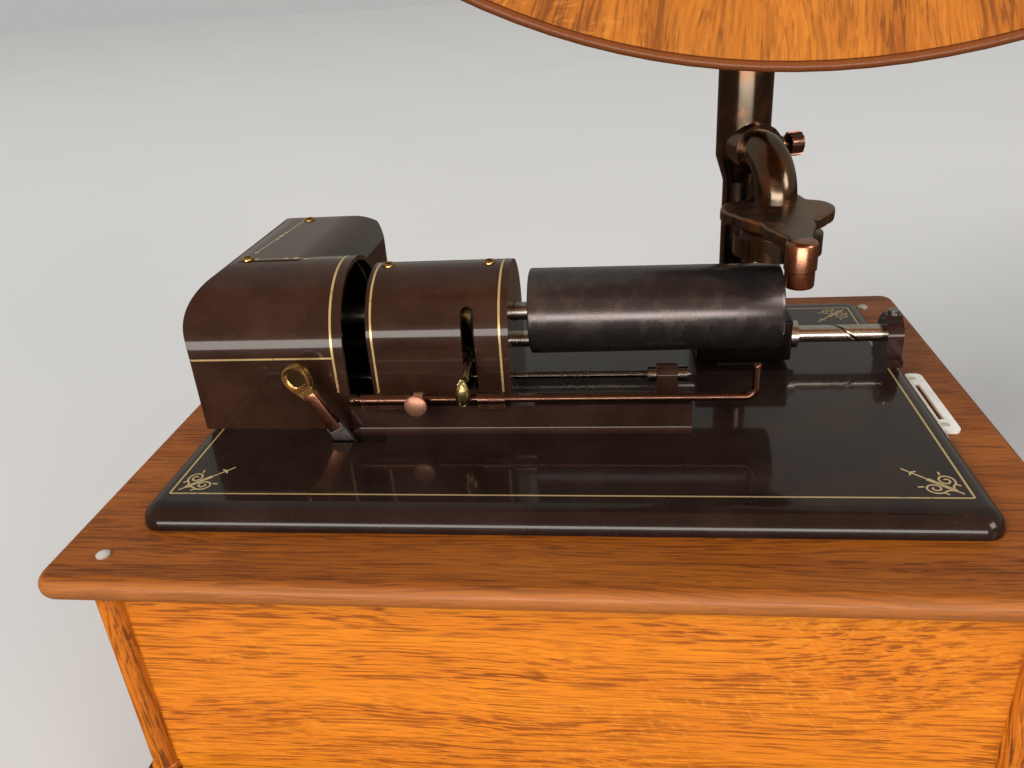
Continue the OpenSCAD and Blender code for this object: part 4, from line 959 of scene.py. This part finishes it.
COVER_LEAVES = (
    (-0.1665, COVER_LINE, 0.0016, 0.0012), (-0.1493, COVER_LINE, 0.0021, 0.0013),
    (-0.1437, COVER_LINE, 0.0027, 0.0016), (-0.1378, COVER_LINE, 0.0021, 0.0013),
    (-0.1186, COVER_LINE, 0.0020, 0.0012), (-0.1716, 0.0070, 0.0012, 0.0022),
    (-0.1693, 0.0340, 0.0012, 0.0028), (-0.1688, 0.0400, 0.0015, 0.0036),
    (-0.1683, 0.0465, 0.0012, 0.0028), (-0.1660, 0.0740, 0.0012, 0.0022))
MOTOR_ENAMEL = Enamel("motor_enamel", "maroon_enamel", lines=(
    Stripe((-0.1165, -FAR, 0.228), (-0.1153, FAR, FAR)),
    # Gold line along the crease of the cover's front: partly a real gold line, partly a painted highlight on
    # the crease.
    Stripe((-FAR, -FAR, 0.2475), (-0.1162, -0.010, 0.2485)),
    Stripe((-0.1655, -0.0057, CREST), (-0.1175, -0.0052, FAR)),
    Slant((-0.1717, 0.0056), (-0.1658, 0.0758), 0.0007, CREST),
    *(Leaf((x, y), (half_x, half_y), CREST) for x, y, half_x, half_y in COVER_LEAVES)))
FEED_ENAMEL = Enamel("feed_enamel", "maroon_enamel", lines=(
    Stripe((-0.0969, -FAR, 0.224), (-0.0958, FAR, FAR)),
    Stripe((-0.0286, -FAR, 0.224), (-0.0275, FAR, FAR))))
NICKEL = Metal("nickel", "nickel", tint=(0.70, 0.68, 0.62), patch=(0.50, 0.47, 0.42), edge=(0.80, 0.77, 0.72),
               metallic=0.45)
# Matt pale nickel for the strike plate: its brightness is painted reflection in place of the plate's metallic
# shine.
NICKEL_PAINTED_GLEAM = Metal("nickel_painted_gleam", "nickel", tint=(0.86, 0.85, 0.77), patch=(0.70, 0.68, 0.60),
                    edge=(0.90, 0.88, 0.82), shine=0.36, metallic=0.0)
GUIDE_NICKEL = Threaded("guide_nickel", "nickel", tint=(0.60, 0.57, 0.51), patch=(0.44, 0.41, 0.36),
                        edge=(0.74, 0.71, 0.65), axis_y=0.0332, axis_z=0.22185, pitch=-0.037, share=0.05,
                        span=(0.128, 0.183))
STEEL = Metal("steel", "steel", tint=(0.42, 0.41, 0.39), patch=(0.30, 0.28, 0.26), edge=(0.58, 0.57, 0.55),
              shine=0.26)
SCREW_STEEL = Threaded("screw_steel", "steel", tint=(0.24, 0.22, 0.20), patch=(0.17, 0.15, 0.13),
                       edge=(0.42, 0.40, 0.37), axis_y=-0.0245, axis_z=0.2248351, pitch=0.0008, share=0.4,
                       span=(-0.03, 0.049))
BRASS = Metal("brass", "brass", tint=(0.50, 0.33, 0.12), patch=(0.28, 0.16, 0.06), edge=(0.74, 0.55, 0.26),
              shine=0.24)
# Darker brass for the gears inside the covers.
DIM_BRASS = Metal("dim_brass", "brass", tint=(0.17, 0.11, 0.05), patch=(0.10, 0.06, 0.03),
                  edge=(0.34, 0.24, 0.11), shine=0.34)
GREEN_BRASS = Metal("green_brass", "brass", tint=(0.30, 0.25, 0.11), patch=(0.12, 0.09, 0.04),
                    edge=(0.62, 0.55, 0.34), shine=0.26, mottle=1.0)
GILT = Metal("gilt", "brass", tint=(0.56, 0.42, 0.20), patch=(0.42, 0.30, 0.14), edge=(0.62, 0.47, 0.24),
             shine=0.4, metallic=0.4)
BLUE_STEEL = Metal("blue_steel", "blue_steel", tint=(0.24, 0.24, 0.24), patch=(0.20, 0.17, 0.15),
                   edge=(0.5, 0.49, 0.48), shine=0.28)
COPPER = Metal("oxidized_copper", "oxidized_copper", tint=(0.112, 0.090, 0.068), patch=(0.19, 0.098, 0.054),
               edge=(0.42, 0.20, 0.115), shine=0.17, spread=0.10, mottle=0.85)
BRIGHT_COPPER = Metal("rubbed_copper", "oxidized_copper", tint=(0.42, 0.195, 0.115),
                      patch=(0.22, 0.105, 0.064), edge=(0.55, 0.28, 0.17), shine=0.24, mottle=0.8,
                      edge_width=0.0010)
PLATE_COPPER = Metal("plate_copper", "oxidized_copper", tint=(0.20, 0.160, 0.120), patch=(0.40, 0.180, 0.095),
                     edge=(0.56, 0.27, 0.15), shine=0.28, mottle=0.9, edge_width=0.0030)
ROD_COPPER = Metal("rod_copper", "oxidized_copper", tint=(0.16, 0.082, 0.058), patch=(0.09, 0.050, 0.036),
                   edge=(0.36, 0.19, 0.125), shine=0.24, mottle=0.8, edge_width=0.0010)
KNOB_COPPER = Metal("knob_copper", "oxidized_copper", tint=(0.48, 0.24, 0.155), patch=(0.36, 0.17, 0.105),
                    edge=(0.70, 0.42, 0.30), shine=0.36, mottle=0.7, edge_width=0.0010, metallic=0.8)
DARK_BRASS = Metal("dark_brass", "brass", tint=(0.055, 0.036, 0.017), patch=(0.10, 0.066, 0.028),
                   edge=(0.30, 0.20, 0.09), shine=0.36, edge_width=0.0004)
MANDREL_METAL = Metal("mandrel_metal", "grey_mandrel", tint=(0.090, 0.080, 0.079),
                      patch=(0.120, 0.103, 0.099), edge=(0.36, 0.34, 0.33), shine=0.24, spread=0.08,
                      mottle=0.8, edge_width=0.0008, metallic=0.85)
COPPER_SHEET = Metal("copper_sheet", "copper_sheet", tint=(0.62, 0.32, 0.21), patch=(0.48, 0.22, 0.13))
STYLUS_STEEL = Metal("stylus_steel", "stylus_steel", tint=(0.5, 0.5, 0.5))
LEATHER = Hide("belt_leather", "belt_leather")
FLOOR_PAINT = FloorPaint("floor_paint")

NODE_FINISHES: dict[Finish, tuple[str, ...]] = {
    GOLDEN_X: ("front_panel", "back_panel"),
    GOLDEN_TOP: ("oak_top",),
    GOLDEN_Y: ("left_panel", "right_panel"),
    GOLDEN_Z: ("corner_columns",),
    DARK_OAK: ("base_moulding",),
    PLAIN_BOARD: ("bottom_board",),
    HORN_OAK: ("horn_bell",),
    HANDLE_WOOD: ("crank_handle",),
    BED_ENAMEL: ("bedplate",),
    PLAIN_ENAMEL: ("front_rail", "right_post", "left_post", "screw_post"),
    DARK_ENAMEL: ("column_foot",),
    MOTOR_ENAMEL: ("motor_cover",),
    FEED_ENAMEL: ("feed_cover",),
    NICKEL: ("lid_pins", "strike_screws", "crank_bush"),
    NICKEL_PAINTED_GLEAM: ("strike_plate",),
    GUIDE_NICKEL: ("guide_rod",),
    STEEL: ("spindle", "left_bearing", "right_bearing", "carriage", "post_screw", "governor", "winding_arbor",
            "motor_pillars", "winding_crank"),
    SCREW_STEEL: ("feed_screw",),
    BRASS: ("oil_caps", "start_finger", "motor_plate_left", "motor_plate_right", "spring_barrel",
            "intermediate_wheel", "output_arbor", "governor_weights"),
    DIM_BRASS: ("half_nut", "feed_screw_gear", "drive_pulley"),
    GREEN_BRASS: ("feed_lever",),
    BLUE_STEEL: ("start_lever",),
    COPPER: ("horn_column", "horn_neck", "tone_elbow", "reproducer_drum", "thumbscrew"),
    PLATE_COPPER: ("reproducer_plate",),
    ROD_COPPER: ("stop_rod_bearings", "stop_rod"),
    KNOB_COPPER: ("stop_knob",),
    BRIGHT_COPPER: ("reproducer_weight",),
    MANDREL_METAL: ("mandrel",),
    COPPER_SHEET: ("diaphragm",),
    STYLUS_STEEL: ("stylus_arm",),
    LEATHER: ("drive_belt",),
}


@dataclass
class CadFinishes:
    """Finishes of the CAD nodes."""

    nodes: dict[str, Piece]

    def dress(self) -> None:
        """Puts each finish on its nodes."""
        for finish, names in NODE_FINISHES.items():
            for name in names:
                finish.apply(self.nodes[name])
            LOG.info("%s: %s", finish.name, ", ".join(names))


@dataclass
class OilCaps:
    """Brass oil cups on the covers, each a ring round a dark hole."""

    radius: float = 0.0036
    hole: float = 0.0020
    height: float = 0.0011
    places: tuple[Point, ...] = (
        (-0.172, -0.0045, 0.2895), (-0.163, 0.075, 0.2895), (-0.091, -0.0075, 0.28455),
        (-0.0355, -0.0075, 0.28455))

    def build(self) -> None:
        """Turns one cup and copies it to each place."""
        r, hole, top = self.radius, self.hole, self.height
        profile = ((hole, -0.0005), (hole, top - 0.0003), (hole + 0.0003, top), (r - 0.0006, top),
                   (r - 0.0002, top - 0.0003), (r, 0.0004), (r, -0.0005), (hole, -0.0005))
        first = Bench.lathe("oil_cap_1", profile, Matrix.Translation(self.places[0]), 32)
        pieces = [first]
        for number, place in enumerate(self.places[1:], 2):
            move = Matrix.Translation(Vector(place) - Vector(self.places[0]))
            pieces.append(Bench.copy(first, f"oil_cap_{number}", move))
        for piece in pieces:
            Bench.finish(piece, BRASS, Body.MACHINE, "oil_caps")


@dataclass
class StartSpoon:
    """Brass spoon on the start lever and the copper shank it grows from."""

    pivot: Point = (-0.104, -0.061, 0.191)
    lean: float = 29.0
    bowl: Outline = (
        (0.0014, 0.0667), (0.0036, 0.0661), (0.0052, 0.0649), (0.0063, 0.0632), (0.0069, 0.0611),
        (0.0070, 0.0588), (0.0067, 0.0564), (0.0061, 0.0541), (0.0051, 0.0518), (0.0042, 0.0499),
        (0.0036, 0.0482), (0.0034, 0.0465))
    shank: Outline = ((0.0034, 0.0485), (0.0033, 0.0455), (0.0033, 0.0246))
    dish: Outline = (
        (0.0010, 0.0642), (0.0026, 0.0636), (0.0037, 0.0622), (0.0043, 0.0605), (0.0044, 0.0588),
        (0.0042, 0.0570), (0.0036, 0.0555), (0.0026, 0.0545), (0.0010, 0.0541))
    thickness: Point = (0.0042, 0.0046, 0.0004)
    floor: float = 0.0515
    hollow: Outline = ((0.0005, -0.0006), (0.0007, 0.0), (0.0005, 0.0013), (0.0009, 0.0005))
    dish_place: Point = (0.0, -0.0010, 0.0)

    def build(self) -> None:
        """Models the spoon and the shank upright and leans them over."""
        lean = Matrix.Translation(self.pivot) @ Matrix.Rotation(-math.radians(self.lean), 4, "Y")
        bowl = Bench.strip("start_spoon", self.bowl, self.thickness[0])
        Bench.pick(bowl, lambda c, n: n.y < -0.9 and c.z > self.floor)
        for width, depth in self.hollow:
            Bench.step(width, (0.0, depth, 0.0))
        shank = Bench.strip("start_shank", self.shank, self.thickness[1])
        Bench.modify(shank, "BEVEL", width=0.0004, segments=2)
        dish = Bench.strip("start_dish", self.dish, self.thickness[2])
        Bench.put(dish, Matrix.Translation(self.dish_place))
        for piece, finish in ((bowl, BRASS), (shank, BRIGHT_COPPER), (dish, DARK_BRASS)):
            Bench.put(piece, lean)
            Bench.settle(piece, 50.0)
            Bench.finish(piece, finish, Body.START, "start_finger")


@dataclass
class FeedLever:
    """Brass lever in the slot of the feed cover, with a leaf-shaped finger end."""

    x: float = -0.0448
    pivot: Pair = (-0.025, 0.2418351)
    bar: Pair = (-0.0494, -0.0275)
    bar_radius: float = 0.0022
    arm_radius: float = 0.0019
    arm_start: float = 0.004
    arm_bends: tuple[tuple[Point, float], ...] = (
        ((0.0, -0.016, 0.0), 1.0), ((0.0, -0.009, -0.0004), 1.05), ((0.0, -0.0065, -0.0022), 1.05))
    tip: Pair = (-0.0625, 0.2335)
    leaf: Point = (0.0042, 0.0027, 0.0078)
    leaf_shift: float = 0.0012
    leaf_taper: Outline = ((0.2, 0.93), (0.5, 0.88), (0.75, 0.85))
    rib: float = 0.0017

    def build(self) -> None:
        """Models the pivot, the arm and the leaf and joins them."""
        left, right = self.bar
        bar = Bench.new("feed_lever_leaf", bpy.ops.mesh.primitive_cylinder_add, vertices=24,
                        radius=self.bar_radius, depth=right - left,
                        location=((left + right) / 2, *self.pivot), rotation=(0.0, math.pi / 2, 0.0))
        Bench.modify(bar, "BEVEL", width=0.0004, segments=2)
        arm = Bench.new("feed_arm", bpy.ops.mesh.primitive_cylinder_add, vertices=16,
                        radius=self.arm_radius, depth=self.arm_start, end_fill_type="NGON",
                        location=(self.x, *self.pivot), rotation=(math.pi / 2, 0.0, 0.0))
        Bench.pick(arm, lambda c, n: n.y < -0.9)
        for move, grow in self.arm_bends:
            Bench.extrude(move)
            bpy.ops.transform.resize(value=(grow, 1.0, grow))
        middle = self.x - self.leaf_shift
        leaf = Bench.new("feed_leaf", bpy.ops.mesh.primitive_uv_sphere_add, segments=28, ring_count=18,
                         radius=1.0, location=(middle, *self.tip), scale=self.leaf)
        centre = (self.x, *self.tip)
        for share, squeeze in self.leaf_taper:
            Bench.points(leaf, lambda p: p.z > self.tip[1] + share * self.leaf[2])
            bpy.ops.transform.resize(value=(squeeze, squeeze, 1.0), center_override=centre)
        Bench.pick(leaf, lambda c, n: n.y < -0.55 and abs(c.x - self.x + self.leaf_shift) < self.rib)
        bpy.ops.mesh.inset(thickness=0.0003, depth=-0.0004)
        piece = Bench.join(bar, arm, leaf)
        Bench.settle(piece, 45.0)
        Bench.finish(piece, GREEN_BRASS, Body.FEED, "feed_lever")


@dataclass
class StopKnob:
    """Copper button on the stop rod, with its collar."""

    x: float = -0.0712
    rod: Pair = (-0.054, 0.226)
    radius: float = 0.0060

    def build(self) -> None:
        """Turns the button and the collar and joins them."""
        at = Matrix.Translation((self.x, *self.rod))
        r = self.radius
        button = Bench.lathe("stop_button", (
            (0.0, 0.0032), (0.0017, 0.0034), (0.0017, 0.0062), (r - 0.0012, 0.0068), (r - 0.0002, 0.0074),
            (r, 0.0081), (r - 0.0003, 0.0088), (r - 0.0018, 0.0095), (r - 0.0040, 0.0099), (0.0, 0.0100),
        ), at @ Matrix.Rotation(math.pi / 2, 4, "X"), 40)
        collar = Bench.lathe("stop_collar", (
            (0.00215, -0.0026), (0.0033, -0.0026), (0.0037, -0.0022), (0.0037, 0.0022), (0.0033, 0.0026),
            (0.00215, 0.0026), (0.00215, -0.0026),
        ), at @ Matrix.Rotation(math.pi / 2, 4, "Y"), 32)
        piece = Bench.join(button, collar)
        Bench.settle(piece)
        Bench.finish(piece, KNOB_COPPER, Body.STOP, "stop_knob")


@dataclass
class Thumbscrew:
    """Knurled thumbscrew in the branch of the horn column."""

    start: Point = (0.1249596, 0.0416819, 0.33)
    axis: Point = (0.9563048, 0.2923717, 0.0)
    radius: float = 0.0058
    length: float = 0.0070
    ridges: int = 14
    ridge_share: float = 0.55
    crown: Outline = ((0.0009, 0.0006), (0.0030, 0.0003))
    under: Pair = (0.0009, -0.0005)
    shank: Pair = (0.0025, 0.0078)
    axis_reach: float = 0.0005

    def build(self) -> None:
        """Models the head upright, raises its ridges, draws its shank and lays it down."""
        piece = Bench.new("thumbscrew_head", bpy.ops.mesh.primitive_cylinder_add, vertices=self.ridges * 2,
                          radius=self.radius, depth=self.length, location=(0.0, 0.0, self.length / 2))
        part = math.tau / self.ridges
        ridge = part * self.ridge_share
        Bench.pick(piece, lambda c, n: abs(n.z) < 0.5 and (math.atan2(c.y, c.x) % part) < ridge)
        bpy.ops.mesh.inset(thickness=0.0002, depth=0.0007, use_individual=True)
        Bench.pick(piece, lambda c, n: n.z > 0.9 and c.xy.length < self.axis_reach)
        for width, rise in self.crown:
            Bench.step(width, (0.0, 0.0, rise))
        Bench.pick(piece, lambda c, n: n.z < -0.9 and c.xy.length < self.axis_reach)
        Bench.step(self.under[0], (0.0, 0.0, self.under[1]))
        bpy.ops.mesh.inset(thickness=self.radius - self.under[0] - self.shank[0])
        Bench.extrude((0.0, 0.0, -self.shank[1]))
        turn = Vector(self.axis).to_track_quat("Z", "Y").to_matrix().to_4x4()
        Bench.put(piece, Matrix.Translation(self.start) @ turn)
        Bench.settle(piece, 30.0)
        Bench.finish(piece, ROD_COPPER, Body.THUMBSCREW, "thumbscrew")


@dataclass
class Mandrel:
    """Bare tapered mandrel with rounded rims."""

    start: Point = (-0.0145, -0.0075, 0.256)
    length: float = 0.1318
    left: float = 0.02328
    right: float = 0.02252

    def build(self) -> None:
        """Turns the mandrel and lays it along X."""
        a, b, end = self.left, self.right, self.length
        profile = ((0.0, 0.0012), (a - 0.0040, 0.0012), (a - 0.0034, 0.0), (a - 0.0012, 0.0),
                   (a - 0.0003, 0.0004), (a, 0.0012), (b, end - 0.0020), (b - 0.0006, end - 0.0006),
                   (b - 0.0020, end), (0.0, end))
        piece = Bench.lathe("mandrel_body", profile,
                            Matrix.Translation(self.start) @ Matrix.Rotation(math.pi / 2, 4, "Y"), 96)
        Bench.finish(piece, MANDREL_METAL, Body.MANDREL, "mandrel")


@dataclass
class ColumnFoot:
    """Dark block under the horn column, raised on a narrower plinth."""

    centre: Pair = (0.1055, 0.0485)
    plinth: Point = (0.029, 0.036, 0.0032)
    block: Point = (0.054, 0.050, 0.0248)
    edge: float = 0.0014

    def build(self) -> None:
        """Models the plinth, draws the block out of its top and rounds the edges."""
        piece = Bench.new("column_block", bpy.ops.mesh.primitive_cube_add, size=1.0, scale=self.plinth,
                          location=(*self.centre, BED + self.plinth[2] / 2))
        Bench.pick(piece, lambda c, n: n.z > 0.9)
        Bench.extrude(ORIGIN)
        bpy.ops.transform.resize(value=(self.block[0] / self.plinth[0], self.block[1] / self.plinth[1], 1.0))
        Bench.extrude((0.0, 0.0, self.block[2]))
        Bench.modify(piece, "BEVEL", width=self.edge, segments=3)
        Bench.settle(piece, 30.0)
        Bench.finish(piece, DARK_ENAMEL, Body.MACHINE, "column_foot")


@dataclass
class Reproducer:
    """Cast top plate of the reproducer and its hanging weight."""

    low: float = 0.296
    thickness: float = 0.0068
    lobes: tuple[Point, ...] = (
        (0.1141, -0.0055, 0.0205), (0.0965, -0.0005, 0.0108), (0.1050, -0.0035, 0.0155),
        (0.1311, -0.0025, 0.0110), (0.1236, -0.0045, 0.0155), (0.1151, 0.0094, 0.0145),
        (0.1160, -0.0230, 0.0128), (0.1170, -0.0310, 0.0095), (0.1184, -0.0440, 0.0066))
    arm: tuple[Pair, Pair] = ((0.1166, -0.0100), (0.1183, -0.0420))
    arm_width: float = 0.0128
    weight: Pair = (0.1184, -0.0455)
    weight_low: float = 0.280
    weight_radius: float = 0.0076
    tilt: float = 6.0
    hub: Pair = (0.0185, 0.013)
    hub_sink: float = 0.003
    voxel: float = 0.00055

    def build(self) -> None:
        """Models the plate and the weight."""
        self.plate()
        self.hanging_weight()

    def plate(self) -> None:
        """Joins the lobes, the hub and the arm, rounds them into one casting and tips it forward."""
        middle = self.low + self.thickness / 2
        round_parts = [("reproducer_casting", r, self.thickness, (x, y, middle)) for x, y, r in self.lobes]
        radius, depth = self.hub
        hub_place = (*self.lobes[0][:2], self.low + self.hub_sink - depth / 2)
        round_parts.append(("reproducer_hub", radius, depth, hub_place))
        parts = [Bench.new(name, bpy.ops.mesh.primitive_cylinder_add, vertices=56, radius=r, depth=h,
                           location=at) for name, r, h, at in round_parts]
        (x0, y0), (x1, y1) = self.arm
        parts.append(Bench.new("reproducer_arm", bpy.ops.mesh.primitive_cube_add, size=1.0,
                               location=((x0 + x1) / 2, (y0 + y1) / 2, middle),
                               rotation=(0.0, 0.0, math.atan2(y1 - y0, x1 - x0)),
                               scale=(math.dist(*self.arm), self.arm_width, self.thickness)))
        piece = Bench.join(*parts)
        Bench.modify(piece, "REMESH", mode="VOXEL", voxel_size=self.voxel)
        Bench.modify(piece, "SMOOTH", factor=0.5, iterations=26)
        pivot = Matrix.Translation((*self.weight, middle))
        Bench.put(piece, pivot @ Matrix.Rotation(math.radians(self.tilt), 4, "X") @ pivot.inverted())
        Bench.settle(piece, 60.0)
        Bench.finish(piece, PLATE_COPPER, Body.REPRODUCER, "reproducer_plate")

    def hanging_weight(self) -> None:
        """Turns the weight with its groove and its rounded ends."""
        r = self.weight_radius
        piece = Bench.lathe("reproducer_bob", (
            (0.0, 0.0), (r - 0.0020, 0.0), (r - 0.0010, 0.0004), (r - 0.0006, 0.0012), (r - 0.0006, 0.0082),
            (r - 0.0011, 0.0085), (r - 0.0011, 0.0089), (r, 0.0092), (r, 0.0212), (r - 0.0004, 0.0222),
            (r - 0.0014, 0.0229), (r - 0.0030, 0.0231), (0.0, 0.0231),
        ), Matrix.Translation((*self.weight, self.weight_low)), 48)
        Bench.finish(piece, BRIGHT_COPPER, Body.REPRODUCER, "reproducer_weight")


@dataclass
class HornBell:
    """Flared oak bell with a slim bead round its mouth."""

    axis: Pair = (0.1025, 0.653)
    length: float = 0.3293
    throat: float = 0.034
    mouth: float = 0.2612
    flare: float = 2.2
    wall: float = 0.0055
    bead: float = 0.0017
    bead_shift: Pair = (0.0018, -0.0008)
    rows: int = 30

    def build(self) -> None:
        """Turns the bell from its profile."""
        run = [self.length * i / self.rows for i in range(self.rows + 1)]
        gain = self.mouth - self.throat
        inside = [(self.throat + gain * (a / self.length) ** self.flare, a) for a in run]
        centre = (self.mouth + self.bead_shift[0], self.length + self.bead_shift[1])
        turns = [math.radians(170.0 - 24.0 * i) for i in range(11)]
        bead = [(centre[0] + self.bead * math.cos(a), centre[1] + self.bead * math.sin(a)) for a in turns]
        outside = [(r + self.wall, a) for r, a in reversed(inside[:-1])]
        place = Matrix.Translation((self.axis[0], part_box("horn_bell")[1][1], self.axis[1]))
        piece = Bench.lathe("horn_veneer", (*inside, *bead, *outside, inside[0]),
                            place @ Matrix.Rotation(math.pi / 2, 4, "X"), 144)
        Bench.finish(piece, HORN_OAK, Body.HORN, "horn_bell")


@dataclass
class CornerScrolls:
    """Gold scrolls in the four corners of the bedplate."""

    corner: Pair = (0.1852, 0.1130)
    height: float = 0.00012
    width: float = 0.0009

    @staticmethod
    def spiral() -> Outline:
        """Points of one spiral, in millimetres from the corner.

        Returns:
            The points, from the tail of the stem to the eye.
        """
        eye = (13.4, 7.0)
        points = [(4.6, 4.6), (6.6, 5.6)]
        for step in range(21):
            share = step / 20
            turn = math.radians(205.0 + 560.0 * share)
            r = 4.4 - 3.6 * share
            points.append((eye[0] + r * math.cos(turn) * 1.1, eye[1] + r * math.sin(turn)))
        return tuple(points)

    def strokes(self) -> tuple[Outline, ...]:
        """All strokes of one corner, in millimetres from the corner.

        Returns:
            The strokes.
        """
        half = (self.spiral(), ((6.2, 5.4), (9.0, 8.2), (12.0, 11.2), (15.0, 14.0)),
                ((17.9, 8.4), (19.3, 8.0), (20.6, 8.2)), ((10.4, 3.4), (9.6, 2.6), (9.0, 1.9)),
                ((20.6, 20.6), (20.4, 19.2), (21.2, 17.8)))
        other = tuple(tuple((b, a) for a, b in stroke) for stroke in half)
        stem = tuple(tuple((a, a) for a in run) for run in ((2.6, 3.6, 4.8), (12.5, 17.0, 21.0, 23.4)))
        return half + other + stem

    def stroke(self, points: Outline) -> Piece:
        """Draws one stroke as a thin flat ribbon at the origin.

        Args:
            points: its points in millimetres.

        Returns:
            The ribbon.
        """
        Bench.clear()
        bpy.ops.curve.primitive_nurbs_path_add()
        curve = bpy.context.object
        line = curve.data.splines[0]
        line.points.add(max(0, len(points) - len(line.points)))
        if len(points) < len(line.points):
            points = points + (points[-1],) * (len(line.points) - len(points))
        for knot, (a, b) in zip(line.points, points):
            knot.co = (a * MM, b * MM, 0.0, 1.0)
        line.order_u = 3
        line.use_endpoint_u = True
        line.resolution_u = 3
        curve.data.bevel_depth = self.width / 2
        curve.data.bevel_resolution = 1
        curve.data.use_fill_caps = True
        bpy.ops.object.convert(target="MESH")
        return bpy.context.object

    def build(self) -> None:
        """Draws one corner, flattens it and mirrors it into the others."""
        piece = Bench.join(*[self.stroke(points) for points in self.strokes()])
        piece.name = "corner_scroll_1"
        piece.data.name = "corner_scroll_1"
        Bench.points(piece, lambda p: True)
        bpy.ops.transform.resize(value=(1.0, 1.0, 2 * self.height / self.width), center_override=ORIGIN)
        x, y = self.corner
        Bench.put(piece, Matrix.Translation((-x, -y, BED)))
        pieces = [piece]
        for number, factors in enumerate(((-1.0, 1.0), (1.0, -1.0), (-1.0, -1.0)), 2):
            pieces.append(Bench.copy(piece, f"corner_scroll_{number}", Matrix.Diagonal((*factors, 1.0, 1.0))))
        for piece in pieces:
            Bench.settle(piece, 60.0)
            Bench.finish(piece, GILT, Body.MACHINE)


@dataclass(frozen=True)
class Lamp:
    """A soft area lamp that the camera doesn't see."""

    name: str
    at: Point
    to: Point
    size: Pair
    power: float
    tint: Colour
    mirrored: bool = True
    lighting: bool = True

    def hang(self) -> None:
        """Hangs the lamp, with or without its reflections and its light on matt surfaces."""
        data = bpy.data.lights.new(self.name, "AREA")
        data.shape = "RECTANGLE"
        data.size, data.size_y = self.size
        data.energy = self.power
        data.color = self.tint
        lamp = bpy.data.objects.new(self.name, data)
        bpy.context.scene.collection.objects.link(lamp)
        lamp.visible_camera = False
        lamp.visible_glossy = self.mirrored
        lamp.visible_diffuse = self.lighting
        lamp.location = self.at
        lamp.rotation_euler = (Vector(self.to) - Vector(self.at)).to_track_quat("-Z", "Y").to_euler()


@dataclass
class Studio:
    """Camera, floor and lights."""

    eye: Point = (0.03387, -0.43737, 0.42376)
    lens: float = 29.56
    pitch: float = 26.08
    yaw: float = 8.20
    roll: float = -4.25
    floor_size: float = 30.0
    front_wall: Colour = (0.44, 0.235, 0.135)
    back_wall: Colour = (0.34, 0.325, 0.285)
    seen_wall: Colour = (0.462, 0.456, 0.446)
    room_light: Colour = (0.42, 0.43, 0.45)
    sun_power: float = 1.6
    sun_spread: float = 35.0
    sun_turn: Pair = (48.0, -28.0)
    sun_tint: Colour = (1.0, 0.97, 0.93)
    lamps: tuple[Lamp, ...] = (
        Lamp("window", at=(-5.5, -6.0, 4.42), to=(0.0, 0.0, 0.22), size=(1.62, 4.25), power=425.0,
             tint=(1.0, 0.98, 0.95), mirrored=False),
        Lamp("fill", at=(6.25, -5.0, 3.7), to=(0.0, 0.0, 0.2), size=(3.25, 3.25), power=238.0,
             tint=(1.0, 0.95, 0.88)),
        Lamp("strip", at=(-0.1, -2.2, 0.30), to=(0.0, 0.0, 0.25), size=(2.6, 0.48), power=34.0,
             tint=(1.0, 0.95, 0.89), lighting=False))

    def camera(self) -> None:
        """Sets the camera at the photograph's view."""
        pitch, yaw, roll = (math.radians(a) for a in (self.pitch, self.yaw, self.roll))
        about = Matrix.Rotation(yaw, 3, "Z")
        ahead = about @ Vector((0.0, math.cos(pitch), -math.sin(pitch)))
        right = about @ Vector((1.0, 0.0, 0.0))
        up = right.cross(ahead)
        side = right * math.cos(roll) + up * math.sin(roll)
        top = up * math.cos(roll) - right * math.sin(roll)
        axes = Matrix((side, top, -ahead)).transposed()
        data = bpy.data.cameras.new("camera")
        data.lens = self.lens
        data.sensor_width = 36.0
        data.sensor_fit = "HORIZONTAL"
        data.clip_start = 0.01
        data.clip_end = 100.0
        camera = bpy.data.objects.new("camera", data)
        bpy.context.scene.collection.objects.link(camera)
        camera.matrix_world = Matrix.Translation(self.eye) @ axes.to_4x4()
        bpy.context.scene.camera = camera

    def floor(self) -> None:
        """Lays a plain pale floor."""
        floor = Bench.new("floor", bpy.ops.mesh.primitive_plane_add, size=self.floor_size)
        FLOOR_PAINT.apply(floor)

    def world(self) -> None:
        """Fills the room with soft light, seen as a pale wall and mirrored as a front and a back wall."""
        world = bpy.data.worlds.new("room")
        bpy.context.scene.world = world
        world.use_nodes = True
        g = Graph(world.node_tree)
        behind = g.band(g.split(g.coordinates("Generated"))[1], -0.06, 0.06)
        gloss = g.mix(behind, self.front_wall, self.back_wall)
        colour = g.mix(g.ray("Is Glossy Ray"), self.room_light, gloss)
        colour = g.mix(g.ray("Is Camera Ray"), colour, self.seen_wall)
        g.fill(world.node_tree.nodes["Background"].inputs, {"Color": colour, "Strength": 1.0})

    def lights(self) -> None:
        """Hangs the soft sun, which shows in no reflection, and the lamps."""
        sun = bpy.data.lights.new("sun", "SUN")
        sun.energy = self.sun_power
        sun.angle = math.radians(self.sun_spread)
        sun.color = self.sun_tint
        lamp = bpy.data.objects.new("sun", sun)
        bpy.context.scene.collection.objects.link(lamp)
        lamp.rotation_euler = (math.radians(self.sun_turn[0]), 0.0, math.radians(self.sun_turn[1]))
        lamp.visible_glossy = False
        for lamp in self.lamps:
            lamp.hang()

    def build(self) -> None:
        """Sets up the studio."""
        self.camera()
        self.floor()
        self.world()
        self.lights()
        bpy.context.scene.view_settings.view_transform = "Standard"


def main() -> None:
    """Builds the studio, the finishes and the new pieces in order."""
    logging.basicConfig(level=logging.INFO, format="%(name)s: %(message)s")
    Studio().build()
    CadFinishes(frame["nodes"]).dress()
    for part in (OilCaps(), StartSpoon(), HornBell(), FeedLever(), StopKnob(), Thumbscrew(), Mandrel(),
                 ColumnFoot(), Reproducer(), CornerScrolls()):
        part.build()
    Bench.clear()


if __name__ == "__main__":
    main()
